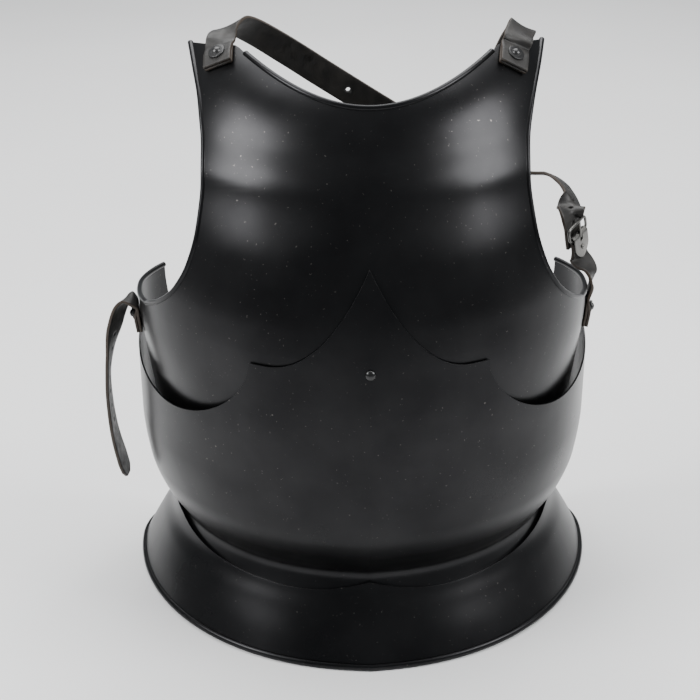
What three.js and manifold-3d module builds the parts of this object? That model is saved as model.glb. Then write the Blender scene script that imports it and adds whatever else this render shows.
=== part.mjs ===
// A late Gothic breastplate in blackened steel: a chest plate, a plackart lapped over it, a flared
// fauld lapped over the plackart's waist, and the leather straps, buckles and rivets of its harness.
// Millimetres, +Z up. The breast faces -Y and the wearer's left is at +X. It stands on its fauld's
// rolled rim, which lies in the plane z = 0.
import * as THREE from "three";
import { mergeVertices } from "three/addons/utils/BufferGeometryUtils.js";
import Module from "manifold-3d";

const wasm = await Module();
wasm.setup();

// ---------------------------------------------------------------- driving dimensions

const PLATE = 1.5; // steel thickness
const LAP_GAP = 1.2; // clearance between the plackart and the chest plate where they touch
const LAP = PLATE + LAP_GAP;
const FLANGE_GAP = 1.7; // clearance between the plackart's flared foot and the fauld
const FLANGE = PLATE + FLANGE_GAP;
const NECK_ROLL = 2.6; // radius of the rolled neck edge
const ARM_ROLL = 2.4; // radius of the rolled arm openings
const RIM_ROLL = 3.0; // half height of the rolled rim that the plate stands on
const REAR_EDGE_Y = 50; // the side walls end this far behind the widest line
const SIDE_RADIUS = 124; // depth radius of the side walls behind the widest line

const CHEST_BOTTOM = 112; // hidden lower edge of the chest plate
const JUNCTION = 279; // station where the breast rises out of the girth band
const SHOULDER_STATION = 535; // outer corner of the shoulder
const NECK_STATION = 478; // lowest point of the neckline
const NECK_ANGLE = 40; // neckline's end, degrees from the front
const NECK_ROLL_ANGLE = 37; // the roll stops short of the shoulder straps
const NECK_CURVE = 0.0475; // stations gained per square degree along the neckline

const PEAK_RISE = 81; // plackart's central peak above its shoulders
const PEAK_FOOT = 270.5; // station of the plackart's shoulders
const PEAK_HALF = 24; // degrees from the peak to its foot
const CUSP = 28.5; // degrees from the front to each side cusp
const ARC_LOW = 206; // lowest station of the side arcs
const ARC_LOW_ANGLE = 58;
const ARC_REAR_RISE = 45; // rise of the side arc at the rear edge
const PLACKART_BOTTOM = 36;

const FAULD_LOW = 53.2; // lowest station of the fauld's upper edge
const FAULD_PEAK = 9.5; // its central peak
const FAULD_PEAK_HALF = 22; // degrees
const FAULD_SIDE_RISE = 0.0047; // stations gained per square degree towards the sides
const FAULD_LEVEL_ANGLE = 70; // its upper edge is level from here to the rear

const RIDGE = 1.6; // height of the medial ridge on the plackart and fauld
const RIDGE_WIDTH = 16;

// The part's origin is under the middle of its bounding box, this far from the body's own axis.
const ORIGIN_SHIFT = { x: 10.4, y: 72.5 };

const STRAP_WIDTH = 25;
const STRAP = 3; // leather thickness
const STRAP_END = 5.4; // doubled leather under a rivet
const STRAP_LIFT = 0.7; // clearance of a strap over the plate below it
const GAP = 0.35; // clearance between small parts

const DOME_RADIUS = 3.8;
const DOME_HEIGHT = 2.6;
const WASHER_RADIUS = 7.2;
const WASHER = 1.2;
const SHANK_RADIUS = 1.8;
const SMALL_SHANK = 1;
const CENTRE_DOME_RADIUS = 4.4;
const SMALL_DOME_RADIUS = 2.2;
const PEEN = 1.2;

const BUCKLE_WIDTH = 32;
const BUCKLE_LENGTH = 15;
const BUCKLE_BAR = 2.6;
const LOOP_BORE = 2.2; // of the steel loops round the hinge bar
const LOOP_RADIUS = 3.4;
const TONGUE_WIDTH = 2.6;
const CHAPE_WIDTH = 23;
const CHAPE_LENGTH = 22;

// ---------------------------------------------------------------- form tables

// Each row is one level of a plate: its height z, half width, front depth and its centre's x and y.
// The hand-beaten shoulders lean a little to one side.
const CHEST_ROWS = [
  { s: 105, z: 105, half: 184, front: 168, x: 0, y: 0 },
  { s: 170, z: 170, half: 190, front: 185, x: 0, y: 0 },
  { s: 220, z: 220, half: 196, front: 190.5, x: 0, y: 0 },
  { s: 262, z: 262, half: 200.5, front: 189.6, x: 0, y: 0 },
  { s: 300, z: 300, half: 199.5, front: 184.2, x: 0, y: 0 },
  { s: 350, z: 350, half: 190, front: 169.8, x: 0, y: 0 },
  { s: 400, z: 400, half: 176, front: 147, x: 0, y: 1 },
  { s: 440, z: 434, half: 169, front: 139, x: 1, y: 17 },
  { s: 480, z: 461, half: 167, front: 142, x: 3, y: 42 },
  { s: 520, z: 479, half: 168, front: 150, x: 4.2, y: 74 },
  { s: 565, z: 493, half: 170, front: 161, x: 5, y: 112 },
];
const FAULD_ROWS = [
  { s: 0, z: 0, half: 213.5, front: 217, x: 0, y: 0 },
  { s: 20, z: 20, half: 203, front: 203, x: 0, y: 0 },
  { s: 40, z: 40, half: 191.5, front: 188, x: 0, y: 0 },
  { s: 56, z: 56, half: 181.5, front: 177.5, x: 0, y: 0 },
  { s: 68, z: 68, half: 178.3, front: 173.3, x: 0, y: 0 },
  { s: 80, z: 80, half: 178, front: 172.5, x: 0, y: 0 },
];

const fauldForm = makeForm(FAULD_ROWS, () => RIDGE);
const chestForm = makeForm(CHEST_ROWS, () => 0);
const flange = (s) => ({
  s,
  z: s,
  half: fauldForm.half(s) - FLANGE,
  front: fauldForm.front(s) - FLANGE,
  x: 0,
  y: 0,
});
const lapped = (s) => ({
  s,
  z: s,
  half: chestForm.half(s) + LAP,
  front: chestForm.front(s) + LAP,
  x: 0,
  y: 0,
});
const PLACKART_ROWS = [
  flange(34),
  flange(44),
  flange(56),
  { s: 67, z: 67, half: 175, front: 170, x: 0, y: 0 },
  { s: 78, z: 78, half: 182, front: 174.5, x: 0, y: 0 },
  { s: 95, z: 95, half: 192, front: 184.5, x: 0, y: 0 },
  { s: 120, z: 120, half: 200, front: 193.5, x: 0, y: 0 },
  { s: 160, z: 160, half: 203.8, front: 198.2, x: 0, y: 0 },
  { s: 200, z: 200, half: 203.8, front: 198.2, x: 0, y: 0 },
  lapped(268),
  lapped(290),
  lapped(310),
  lapped(330),
  lapped(356),
];
const plackartForm = makeForm(PLACKART_ROWS, (s) => RIDGE * easeDown(s, 220, 300));

// Edge of each arm opening, from the shoulder's outer corner down its front and back along the
// side wall to the rear edge: degrees from the front against station.
const ARM_FRONT = [
  { s: 279, angle: 69.5 },
  { s: 292, angle: 60.5 },
  { s: 311, angle: 52.8 },
  { s: 335, angle: 48.7 },
  { s: 362, angle: 47.1 },
  { s: 385, angle: 47.6 },
  { s: 421, angle: 50.1 },
  { s: 462, angle: 54.5 },
  { s: 500, angle: 59.2 },
  { s: 535, angle: 62.9 },
];
const ARM_SIDE = [
  { angle: 69.5, s: 279 },
  { angle: 80, s: 272.8 },
  { angle: 92, s: 268.8 },
  { angle: 104, s: 267.2 },
  { angle: 116, s: 266.8 },
];

// ---------------------------------------------------------------- curves and forms

// A monotone cubic through (x, y) pairs, held level past its ends.
function smooth(xs, ys) {
  const steps = xs.slice(1).map((x, i) => x - xs[i]);
  const slopes = steps.map((h, i) => (ys[i + 1] - ys[i]) / h);
  const tangents = xs.map((_, i) => {
    if (i === 0) return slopes[0];
    if (i === xs.length - 1) return slopes[i - 1];
    const [before, after] = [slopes[i - 1], slopes[i]];
    if (before * after <= 0) return 0;
    const w1 = 2 * steps[i] + steps[i - 1];
    const w2 = steps[i] + 2 * steps[i - 1];
    return (w1 + w2) / (w1 / before + w2 / after);
  });
  return (value) => {
    const x = Math.min(Math.max(value, xs[0]), xs[xs.length - 1]);
    let i = 0;
    while (i < xs.length - 2 && x > xs[i + 1]) i += 1;
    const t = (x - xs[i]) / steps[i];
    const rise = 3 * t * t - 2 * t * t * t;
    return (
      ys[i] * (1 - rise) +
      ys[i + 1] * rise +
      steps[i] * (tangents[i] * (t - 2 * t * t + t ** 3) + tangents[i + 1] * (t ** 3 - t * t))
    );
  };
}

function easeDown(s, low, high) {
  const t = Math.min(Math.max((high - s) / (high - low), 0), 1);
  return t * t * (3 - 2 * t);
}

// A plate's surface: at(angle, station) walks round the body from the front (0 degrees) and up it.
function makeForm(rows, ridge) {
  const column = (name) =>
    smooth(
      rows.map((r) => r.s),
      rows.map((r) => r[name]),
    );
  const z = column("z");
  const half = column("half");
  const front = column("front");
  const centreX = column("x");
  const centreY = column("y");
  const at = (angle, s) => {
    const a = THREE.MathUtils.degToRad(angle);
    const x = half(s) * Math.sin(a);
    const c = Math.cos(a);
    const y = centreY(s) - (c >= 0 ? front(s) : SIDE_RADIUS) * c;
    const crease = ridge(s) * Math.exp(-Math.abs(x) / RIDGE_WIDTH);
    return new THREE.Vector3(centreX(s) + x, y - crease, z(s));
  };
  const normal = (angle, s) => {
    const side = Math.sign(angle) || 1;
    const across = at(angle + side * 0.6, s).sub(at(angle + side * 0.1, s)).multiplyScalar(side);
    return across.cross(at(angle, s + 0.5).sub(at(angle, s - 0.5))).normalize();
  };
  // The outward offset of a surface point.
  const out = (angle, s, lift) => at(angle, s).addScaledVector(normal(angle, s), lift);
  // The angle of the point that has a given x, in front of the widest line.
  const angleAtX = (x, s) => THREE.MathUtils.radToDeg(Math.asin((x - centreX(s)) / half(s)));
  return { at, out, normal, half, front, angleAtX };
}

// The angle at which the side wall reaches the rear edge.
const REAR_ANGLE = 90 + THREE.MathUtils.radToDeg(Math.asin(REAR_EDGE_Y / SIDE_RADIUS));

function smoothRows(rows, from, to) {
  return smooth(
    rows.map((r) => r[from]),
    rows.map((r) => r[to]),
  );
}
const armFrontAngle = smoothRows(ARM_FRONT, "s", "angle");
const armSideStation = smoothRows(ARM_SIDE, "angle", "s");

function neckOrShoulder(angle) {
  const a = Math.abs(angle);
  const inner = NECK_STATION + NECK_CURVE * NECK_ANGLE ** 2;
  if (a <= NECK_ANGLE) return NECK_STATION + NECK_CURVE * a * a;
  const outer = armFrontAngle(SHOULDER_STATION);
  return inner + ((SHOULDER_STATION - inner) * (a - NECK_ANGLE)) / (outer - NECK_ANGLE);
}

function plackartTop(angle) {
  const a = Math.abs(angle);
  if (a <= PEAK_HALF) return PEAK_FOOT + PEAK_RISE * (1 - a / PEAK_HALF) ** 2.1;
  if (a <= CUSP) return PEAK_FOOT;
  if (a <= ARC_LOW_ANGLE) {
    const across = (ARC_LOW_ANGLE - a) / (ARC_LOW_ANGLE - CUSP);
    return PEAK_FOOT - (PEAK_FOOT - ARC_LOW) * Math.max(1 - across ** 2, 0) ** 0.55;
  }
  return ARC_LOW + ARC_REAR_RISE * ((a - ARC_LOW_ANGLE) / (REAR_ANGLE - ARC_LOW_ANGLE)) ** 1.6;
}

function fauldTop(angle) {
  const a = Math.abs(angle);
  const past = Math.max(Math.min(a, FAULD_LEVEL_ANGLE) - FAULD_PEAK_HALF, 0);
  const level = FAULD_LOW + FAULD_SIDE_RISE * past ** 2;
  return level + FAULD_PEAK * Math.max(1 - a / FAULD_PEAK_HALF, 0) ** 2;
}

// ---------------------------------------------------------------- solids

function toSolid(geometry) {
  const bare = new THREE.BufferGeometry();
  const source = geometry.index ? geometry.toNonIndexed() : geometry;
  bare.setAttribute("position", source.getAttribute("position").clone());
  const merged = mergeVertices(bare, 1e-3);
  return new wasm.Manifold(
    new wasm.Mesh({
      numProp: 3,
      vertProperties: merged.attributes.position.array,
      triVerts: new Uint32Array(merged.index.array),
    }),
  );
}

function toGeometry(solid) {
  const mesh = solid.getMesh();
  const geometry = new THREE.BufferGeometry();
  geometry.setAttribute("position", new THREE.BufferAttribute(mesh.vertProperties, 3));
  geometry.setIndex(new THREE.BufferAttribute(mesh.triVerts, 1));
  return geometry;
}

const unite = (solids) => solids.reduce((a, b) => a.add(b));
const pierce = (solid, cutters) => cutters.reduce((a, b) => a.subtract(b), solid);

// A closed geometry from vertices and faces of three or four indices, wound outwards.
function facesToGeometry(vertices, faces) {
  const triangles = faces.flatMap((f) =>
    f.length === 3 ? f : [f[0], f[1], f[2], f[0], f[2], f[3]],
  );
  const geometry = new THREE.BufferGeometry();
  const positions = vertices.flatMap((v) => [v.x, v.y, v.z]);
  geometry.setAttribute("position", new THREE.Float32BufferAttribute(positions, 3));
  geometry.setIndex(triangles);
  return geometry;
}

// A plate: the form's surface over a net of (angle, station) points, given its thickness inwards.
function plateSolid(form, net, quads) {
  const outer = net.map(([angle, s]) => form.at(angle, s));
  const inner = net.map(([angle, s]) => form.out(angle, s, -PLATE));
  const n = net.length;
  const faces = quads.map((q) => [...q]);
  quads.forEach((q) => faces.push(q.map((i) => i + n).reverse()));
  const directed = new Set();
  quads.forEach((q) => q.forEach((a, i) => directed.add(`${a},${q[(i + 1) % q.length]}`)));
  directed.forEach((edge) => {
    const [a, b] = edge.split(",").map(Number);
    if (!directed.has(`${b},${a}`)) faces.push([b, a, a + n, b + n]);
  });
  return toSolid(facesToGeometry([...outer, ...inner], faces));
}

// Rows of points with equal counts, joined into a net of quads.
function netOf(rows) {
  const width = rows[0].length;
  const quads = [];
  for (let j = 0; j + 1 < rows.length; j += 1) {
    for (let i = 0; i + 1 < width; i += 1) {
      const a = j * width + i;
      quads.push([a, a + 1, a + 1 + width, a + width]);
    }
  }
  return { net: rows.flat(), quads };
}

// A closed bar: each frame's section polygon, joined to the next, with a cap at each end.
function barSolid(sections) {
  const k = sections[0].length;
  const faces = [];
  for (let j = 0; j + 1 < sections.length; j += 1) {
    for (let i = 0; i < k; i += 1) {
      const a = j * k + i;
      const b = j * k + ((i + 1) % k);
      faces.push([a, b, b + k, a + k]);
    }
  }
  const last = (sections.length - 1) * k;
  for (let i = 1; i + 1 < k; i += 1) {
    faces.push([0, i + 1, i]);
    faces.push([last, last + i, last + i + 1]);
  }
  const solid = toSolid(facesToGeometry(sections.flat(), faces));
  if (solid.volume() > 0) return solid;
  return toSolid(facesToGeometry(sections.flat(), faces.map((f) => [...f].reverse())));
}

// A round bar along a smooth path.
function rollSolid(points, radius, steps, sides = 6) {
  const section = new THREE.Shape(
    Array.from({ length: sides }, (_, i) => {
      const a = (2 * Math.PI * i) / sides;
      return new THREE.Vector2(radius * Math.cos(a), radius * Math.sin(a));
    }),
  );
  const extrudePath = new THREE.CatmullRomCurve3(points, false, "centripetal");
  return toSolid(new THREE.ExtrudeGeometry(section, { steps, extrudePath, bevelEnabled: false }));
}

const range = (n) => Array.from({ length: n }, (_, i) => i);
const lerp = THREE.MathUtils.lerp;
const vec = (x, y, z) => new THREE.Vector3(x, y, z);

// ---------------------------------------------------------------- rivets

// A frame to build a small part in: its origin, its outward normal and one direction across it.
function frameAt(origin, normal, across) {
  const n = normal.clone().normalize();
  const a = across.clone().addScaledVector(n, -across.dot(n)).normalize();
  const b = n.clone().cross(a);
  return new THREE.Matrix4().makeBasis(a, b, n).setPosition(origin);
}

function lathed(profile, frame, segments = 10) {
  const points = profile.map(([r, h]) => new THREE.Vector2(r, h));
  const geometry = new THREE.LatheGeometry(points, segments);
  geometry.rotateX(Math.PI / 2);
  geometry.applyMatrix4(frame);
  return toSolid(geometry);
}

// A rivet whose head starts at the frame's origin: dome, optional washer, shank and peened end.
function rivetSolid(frame, stack, dome = DOME_RADIUS, washer = WASHER_RADIUS, shank = SHANK_RADIUS) {
  const peen = shank * 2.2;
  const foot = washer ? WASHER : 0;
  const height = (DOME_HEIGHT * dome) / DOME_RADIUS;
  const edge = washer ? [[washer, 0], [washer * 0.96, foot]] : [];
  return lathed(
    [
      [0, -stack - PEEN],
      [peen * 0.8, -stack - PEEN],
      [peen, -stack],
      [shank, -stack],
      [shank, 0],
      ...edge,
      [dome, foot],
      [dome * 0.78, foot + height * 0.62],
      [dome * 0.4, foot + height * 0.93],
      [0, foot + height],
    ],
    frame,
  );
}

const boreSolid = (frame, shank = SHANK_RADIUS, reach = 14) =>
  lathed(
    [
      [0, -reach],
      [shank + GAP, -reach],
      [shank + GAP, reach],
      [0, reach],
    ],
    frame,
    8,
  );

// ---------------------------------------------------------------- plates

function chestNet() {
  const rear = REAR_ANGLE;
  const wing = [rear, 108, 101, 94, 87, 81, 75];
  const corner = armFrontAngle(JUNCTION);
  const breast = [1, 0.94, 0.86, 0.76, 0.65, 0.53, 0.4, 0.27, 0.13, 0].map((u) => u * corner);
  const half = [...wing, ...breast];
  const angles = [...half.map((a) => -a), ...half.slice(0, -1).reverse()];
  const topOf = (a) => (Math.abs(a) >= corner ? armSideStation(Math.abs(a)) : JUNCTION);
  const band = [0, 0.3, 0.56, 0.8, 1].map((t) =>
    angles.map((a) => [a, lerp(CHEST_BOTTOM, topOf(a), t)]),
  );
  const { net, quads } = netOf(band);
  // The breast above the band: its rows narrow with the arm openings and end at neck and shoulders.
  const inner = angles.map((a, i) => ({ a, i })).filter(({ a }) => Math.abs(a) <= corner + 1e-6);
  const lastRow = (band.length - 1) * angles.length;
  let below = inner.map(({ i }) => lastRow + i);
  for (const s of [285, 293, 307, 330, 360, 394, 428, 460, 490, 515, 535]) {
    const rise = (s - JUNCTION) / (SHOULDER_STATION - JUNCTION);
    const edge = armFrontAngle(s);
    const row = inner.map(({ a }) => {
      const u = a / corner;
      const top = neckOrShoulder(u * armFrontAngle(SHOULDER_STATION));
      net.push([u * edge, JUNCTION + (top - JUNCTION) * rise]);
      return net.length - 1;
    });
    row.slice(1).forEach((_, i) => quads.push([below[i], below[i + 1], row[i + 1], row[i]]));
    below = row;
  }
  return { net, quads };
}

function armEdge(side) {
  const rows = [
    ...[REAR_ANGLE, 106, 99, 92, 85, 78].map((a) => [a, armSideStation(a)]),
    ...[JUNCTION, 285, 292, 301, 313, 332, 357, 385, 420, 458, 498, 535].map((s) => [
      armFrontAngle(s),
      s,
    ]),
  ];
  return rows.map(([a, s]) => chestForm.out(side * a, s, -PLATE / 2));
}

function neckEdge() {
  return range(13).map((i) => {
    const a = lerp(-NECK_ROLL_ANGLE, NECK_ROLL_ANGLE, i / 12);
    return chestForm.out(a, neckOrShoulder(a), -PLATE / 2);
  });
}

function chestPlate(bores) {
  const { net, quads } = chestNet();
  const shell = plateSolid(chestForm, net, quads);
  const rolls = [
    rollSolid(armEdge(-1), ARM_ROLL, 24),
    rollSolid(armEdge(1), ARM_ROLL, 24),
    rollSolid(neckEdge(), NECK_ROLL, 18),
  ];
  return pierce(unite([shell, ...rolls]), bores);
}

function plackart(bores) {
  const peak = [0, 3, 6, 9.5, 13.5, 18, PEAK_HALF, CUSP];
  const arc = [10, 26, 45, 67, 90].map(
    (d) => ARC_LOW_ANGLE - (ARC_LOW_ANGLE - CUSP) * Math.cos(THREE.MathUtils.degToRad(d)),
  );
  const side = [66, 74, 82, 90, 98, 106, REAR_ANGLE];
  const half = [...peak, ...arc, ...side];
  const angles = [...half.slice(1).map((a) => -a).reverse(), ...half];
  const levels = [0, 0.05, 0.1, 0.14, 0.19, 0.28, 0.42, 0.57, 0.71, 0.83, 0.93, 1];
  const rows = levels.map((t) =>
    angles.map((a) => [a, lerp(PLACKART_BOTTOM, plackartTop(a), t)]),
  );
  const { net, quads } = netOf(rows);
  return pierce(plateSolid(plackartForm, net, quads), bores);
}

function fauld(bores) {
  const half = [0, 4, 9, 15, FAULD_PEAK_HALF, 30, 38, 46, 54, 62, 70, 78, 86, 94, 101, 107, REAR_ANGLE];
  const angles = [...half.slice(1).map((a) => -a).reverse(), ...half];
  const rows = [0, 0.25, 0.5, 0.75, 1].map((t) =>
    angles.map((a) => [a, lerp(RIM_ROLL, fauldTop(a), t)]),
  );
  const { net, quads } = netOf(rows);
  const shell = plateSolid(fauldForm, net, quads);
  return pierce(unite([shell, rimRoll()]), bores);
}

// The rolled rim: an eight-sided bar with a flat underside in the plane z = 0.
function rimRoll() {
  const count = 40;
  const corner = RIM_ROLL / Math.cos(Math.PI / 8);
  const sections = range(count + 1).map((i) => {
    const a = lerp(-REAR_ANGLE, REAR_ANGLE, i / count);
    const centre = fauldForm.at(a, RIM_ROLL);
    const outward = fauldForm.normal(a, RIM_ROLL).setZ(0).normalize();
    centre.addScaledVector(outward, -PLATE / 2).setZ(RIM_ROLL);
    return range(8).map((k) => {
      const turn = Math.PI / 8 + (Math.PI / 4) * k;
      const point = centre.clone().addScaledVector(outward, corner * Math.cos(turn));
      return point.setZ(Math.max(RIM_ROLL + corner * Math.sin(turn), 0));
    });
  });
  return barSolid(sections);
}

// ---------------------------------------------------------------- straps

// A strap through rows of centre points, each with the direction across it, a width and a thickness.
function strapSections(rows, perSpan = 4) {
  const curve = (name) =>
    new THREE.CatmullRomCurve3(
      rows.map((r) => (name === "at" ? r.at.clone() : r.across.clone())),
      false,
      "centripetal",
    );
  const centre = new THREE.CatmullRomCurve3(rows.map((r) => r.at.clone()), false, "centripetal");
  const across = curve("across");
  const spans = rows.length - 1;
  return range(spans * perSpan + 1).map((k) => {
    const t = k / (spans * perSpan);
    const row = Math.min(Math.floor(k / perSpan), spans - 1);
    const part = k / perSpan - row;
    const mid = centre.getPoint(t);
    const along = centre.getTangent(t);
    const a = across.getPoint(t);
    a.addScaledVector(along, -a.dot(along)).normalize();
    const up = along.clone().cross(a).normalize();
    const width = lerp(rows[row].width ?? STRAP_WIDTH, rows[row + 1].width ?? STRAP_WIDTH, part);
    const thick = lerp(rows[row].thick ?? STRAP, rows[row + 1].thick ?? STRAP, part);
    return [
      [-1, -1],
      [1, -1],
      [1, 1],
      [-1, 1],
    ].map(([u, v]) =>
      mid.clone().addScaledVector(a, (u * width) / 2).addScaledVector(up, (v * thick) / 2),
    );
  });
}

const strapSolid = (rows, perSpan) => barSolid(strapSections(rows, perSpan));

// A point of a strap that lies on the chest plate at a given x and station.
function onChest(x, s, thick = STRAP_END) {
  const angle = chestForm.angleAtX(x, s);
  const normal = chestForm.normal(angle, s);
  const back = chestForm.at(chestForm.angleAtX(x, s + 1), s + 1).sub(chestForm.at(angle, s));
  return {
    at: chestForm.out(angle, s, STRAP_LIFT + thick / 2),
    surface: chestForm.at(angle, s),
    normal,
    across: back.normalize().cross(normal).normalize(),
    thick,
  };
}

// A strap end that lies on the side wall, upright, with its width along the wall.
function onSide(angle, s, thick = STRAP_END) {
  const normal = chestForm.normal(angle, s);
  return {
    at: chestForm.out(angle, s, STRAP_LIFT + thick / 2),
    normal,
    across: vec(0, 0, 1).cross(normal).normalize(),
    thick,
  };
}

const row = (x, y, z, ax, ay, az, more = {}) => ({
  at: vec(x, y, z),
  across: vec(ax, ay, az).normalize(),
  ...more,
});

// The rivet frame on top of a strap end.
const onStrap = (end) =>
  frameAt(end.at.clone().addScaledVector(end.normal, end.thick / 2 + GAP), end.normal, end.across);

// ---------------------------------------------------------------- buckles

// A buckle's own frame: x across the strap, y along it towards the strap that is held, z outwards.
function buckleFrame(origin, across, along) {
  const a = across.clone().normalize();
  const t = along.clone().addScaledVector(a, -along.dot(a)).normalize();
  return new THREE.Matrix4().makeBasis(a, t, a.clone().cross(t)).setPosition(origin);
}

const inFrame = (frame, x, y, z) => vec(x, y, z).applyMatrix4(frame);

function boxSolid(frame, [x0, x1], [y0, y1], [z0, z1]) {
  const geometry = new THREE.BoxGeometry(x1 - x0, y1 - y0, z1 - z0);
  geometry.translate((x0 + x1) / 2, (y0 + y1) / 2, (z0 + z1) / 2);
  geometry.applyMatrix4(frame);
  return toSolid(geometry);
}

// A rounded oblong ring. Its hinge bar lies along y = 0.
function buckleRing(frame) {
  const outline = (inset) => {
    const w = BUCKLE_WIDTH / 2 - inset;
    const low = -BUCKLE_BAR / 2 + inset;
    const high = BUCKLE_LENGTH - BUCKLE_BAR / 2 - inset;
    const r = 5 - inset;
    const path = new THREE.Path();
    path.moveTo(-w + r, low);
    path.lineTo(w - r, low);
    path.absarc(w - r, low + r, r, -Math.PI / 2, 0, false);
    path.lineTo(w, high - r);
    path.absarc(w - r, high - r, r, 0, Math.PI / 2, false);
    path.lineTo(-w + r, high);
    path.absarc(-w + r, high - r, r, Math.PI / 2, Math.PI, false);
    path.lineTo(-w, low + r);
    path.absarc(-w + r, low + r, r, Math.PI, 1.5 * Math.PI, false);
    return path.getPoints(3);
  };
  const shape = new THREE.Shape(outline(0));
  shape.holes.push(new THREE.Path(outline(BUCKLE_BAR).reverse()));
  const geometry = new THREE.ExtrudeGeometry(shape, { depth: BUCKLE_BAR, bevelEnabled: false });
  geometry.translate(0, 0, -BUCKLE_BAR / 2);
  geometry.applyMatrix4(frame);
  return toSolid(geometry);
}

// A loop round the hinge bar.
function loopSolid(frame, radius, width) {
  const geometry = new THREE.CylinderGeometry(radius, radius, width, 10);
  geometry.rotateZ(Math.PI / 2);
  geometry.applyMatrix4(frame);
  return toSolid(geometry);
}

// The chape: a pointed steel leaf over the strap, looped round the hinge bar and notched for the
// tongue.
function chapeSolid(frame, cutters) {
  const w = CHAPE_WIDTH / 2;
  const shape = new THREE.Shape();
  shape.moveTo(-w, 0);
  shape.lineTo(-w, -CHAPE_LENGTH * 0.45);
  shape.quadraticCurveTo(-w * 0.75, -CHAPE_LENGTH * 0.8, 0, -CHAPE_LENGTH);
  shape.quadraticCurveTo(w * 0.75, -CHAPE_LENGTH * 0.8, w, -CHAPE_LENGTH * 0.45);
  shape.lineTo(w, 0);
  const depth = LOOP_RADIUS - LOOP_BORE;
  const leaf = new THREE.ExtrudeGeometry(shape, { depth, bevelEnabled: false, curveSegments: 5 });
  leaf.translate(0, 0, LOOP_BORE);
  leaf.applyMatrix4(frame);
  const notch = TONGUE_WIDTH / 2 + 0.8;
  return pierce(loopSolid(frame, LOOP_RADIUS, CHAPE_WIDTH).add(toSolid(leaf)), [
    loopSolid(frame, LOOP_BORE, CHAPE_WIDTH + 20),
    boxSolid(frame, [-notch, notch], [-4.5, LOOP_RADIUS + 1], [-LOOP_RADIUS - 1, LOOP_RADIUS + 1]),
    ...cutters,
  ]);
}

// The tongue, looped round the hinge bar and resting on the far bar.
function tongueSolid(frame) {
  const low = BUCKLE_BAR / 2 + GAP;
  const half = TONGUE_WIDTH / 2;
  const pin = boxSolid(frame, [-half, half], [0, BUCKLE_LENGTH - 1], [low, LOOP_RADIUS]);
  const loop = loopSolid(frame, LOOP_RADIUS, TONGUE_WIDTH).add(pin);
  return loop.subtract(loopSolid(frame, LOOP_BORE, 20));
}

// ---------------------------------------------------------------- harness

const SHOULDER_LEFT = { x: -118, rivet: 527, end: 511, edge: 541 };
const SHOULDER_RIGHT = { x: 123, rivet: 522, end: 507, edge: 539 };
const SIDE_ANGLE = 84;
const SIDE_RIVET = 250;

const leftEnd = onChest(SHOULDER_LEFT.x, SHOULDER_LEFT.rivet);
const rightEnd = onChest(SHOULDER_RIGHT.x, SHOULDER_RIGHT.rivet);
const sideLeftEnd = onSide(-SIDE_ANGLE, SIDE_RIVET);
const sideRightEnd = onSide(SIDE_ANGLE, SIDE_RIVET);

const buckle = buckleFrame(vec(193.5, 0, 310), vec(0.6, 0.76, 0.24), vec(-0.18, -0.15, 0.95));
const rearBuckle = buckleFrame(vec(114, 28, 434), vec(-0.95, 0, 0.3), vec(-0.3, 0.02, -0.95));

// A strap's row in a buckle's frame, a distance along it and a height off it.
const inBuckle = (frame, along, height, sign = 1) => ({
  at: vec(0, along, height).applyMatrix4(frame),
  across: vec(0, 0, 0).setFromMatrixColumn(frame, 0).multiplyScalar(sign),
});

// The long strap from the right shoulder, across the open back, to the buckle at the left side.
function shoulderStrapLeft(cutters) {
  const behind = -(LOOP_RADIUS + GAP + STRAP / 2);
  const rows = [
    onChest(SHOULDER_LEFT.x, SHOULDER_LEFT.end),
    leftEnd,
    onChest(SHOULDER_LEFT.x, SHOULDER_LEFT.edge, STRAP),
    row(-117.5, -8, 492.6, 1, 0, 0.16),
    row(-115.5, 0, 496.3, 0.96, -0.12, 0.27),
    row(-110, 9, 498.3, 0.8, -0.35, 0.48),
    row(-103, 19, 496.5, 0.58, -0.4, 0.71),
    row(-92, 28, 489.5, 0.54, -0.25, 0.8),
    row(-64, 37, 470, 0.56, -0.05, 0.82),
    row(-30, 43, 446, 0.57, 0, 0.82),
    row(20, 51, 412, 0.55, -0.1, 0.82),
    row(70, 58, 380, 0.42, -0.45, 0.78),
    row(118, 62, 357, 0.15, -0.82, 0.55),
    row(152, 60, 348.5, -0.06, -0.93, 0.37),
    row(172, 52, 349, -0.1, -0.94, 0.32),
    row(183.5, 39, 344.5, -0.14, -0.97, 0.17),
    row(190, 22, 335.5, -0.27, -0.95, 0.03),
    inBuckle(buckle, BUCKLE_LENGTH + 6, -6, -1),
    inBuckle(buckle, BUCKLE_LENGTH - 3, -5, -1),
    inBuckle(buckle, 1, behind, -1),
    inBuckle(buckle, -9, behind, -1),
  ];
  return pierce(strapSolid(rows, 3), cutters);
}

// The short strap at the left shoulder, over the shoulder's top to a buckle behind it.
function shoulderStrapRight(cutters) {
  const rows = [
    onChest(SHOULDER_RIGHT.x - 2, SHOULDER_RIGHT.end),
    rightEnd,
    onChest(SHOULDER_RIGHT.x + 3, SHOULDER_RIGHT.edge, STRAP),
    row(129, -16, 491.5, 0.97, 0.1, -0.2),
    row(132, -6, 495, 0.88, 0.28, -0.38),
    row(135, 5, 496.5, 0.76, 0.44, -0.48),
    row(135, 15, 491.5, 0.76, 0.4, -0.52),
    row(131, 22, 481, 0.82, 0.2, -0.52),
    row(125, 26, 465, 0.9, 0.05, -0.38),
    inBuckle(rearBuckle, -14, 0, -1),
    inBuckle(rearBuckle, -LOOP_RADIUS - GAP, 0, -1),
  ];
  return pierce(strapSolid(rows, 3), cutters);
}

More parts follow.
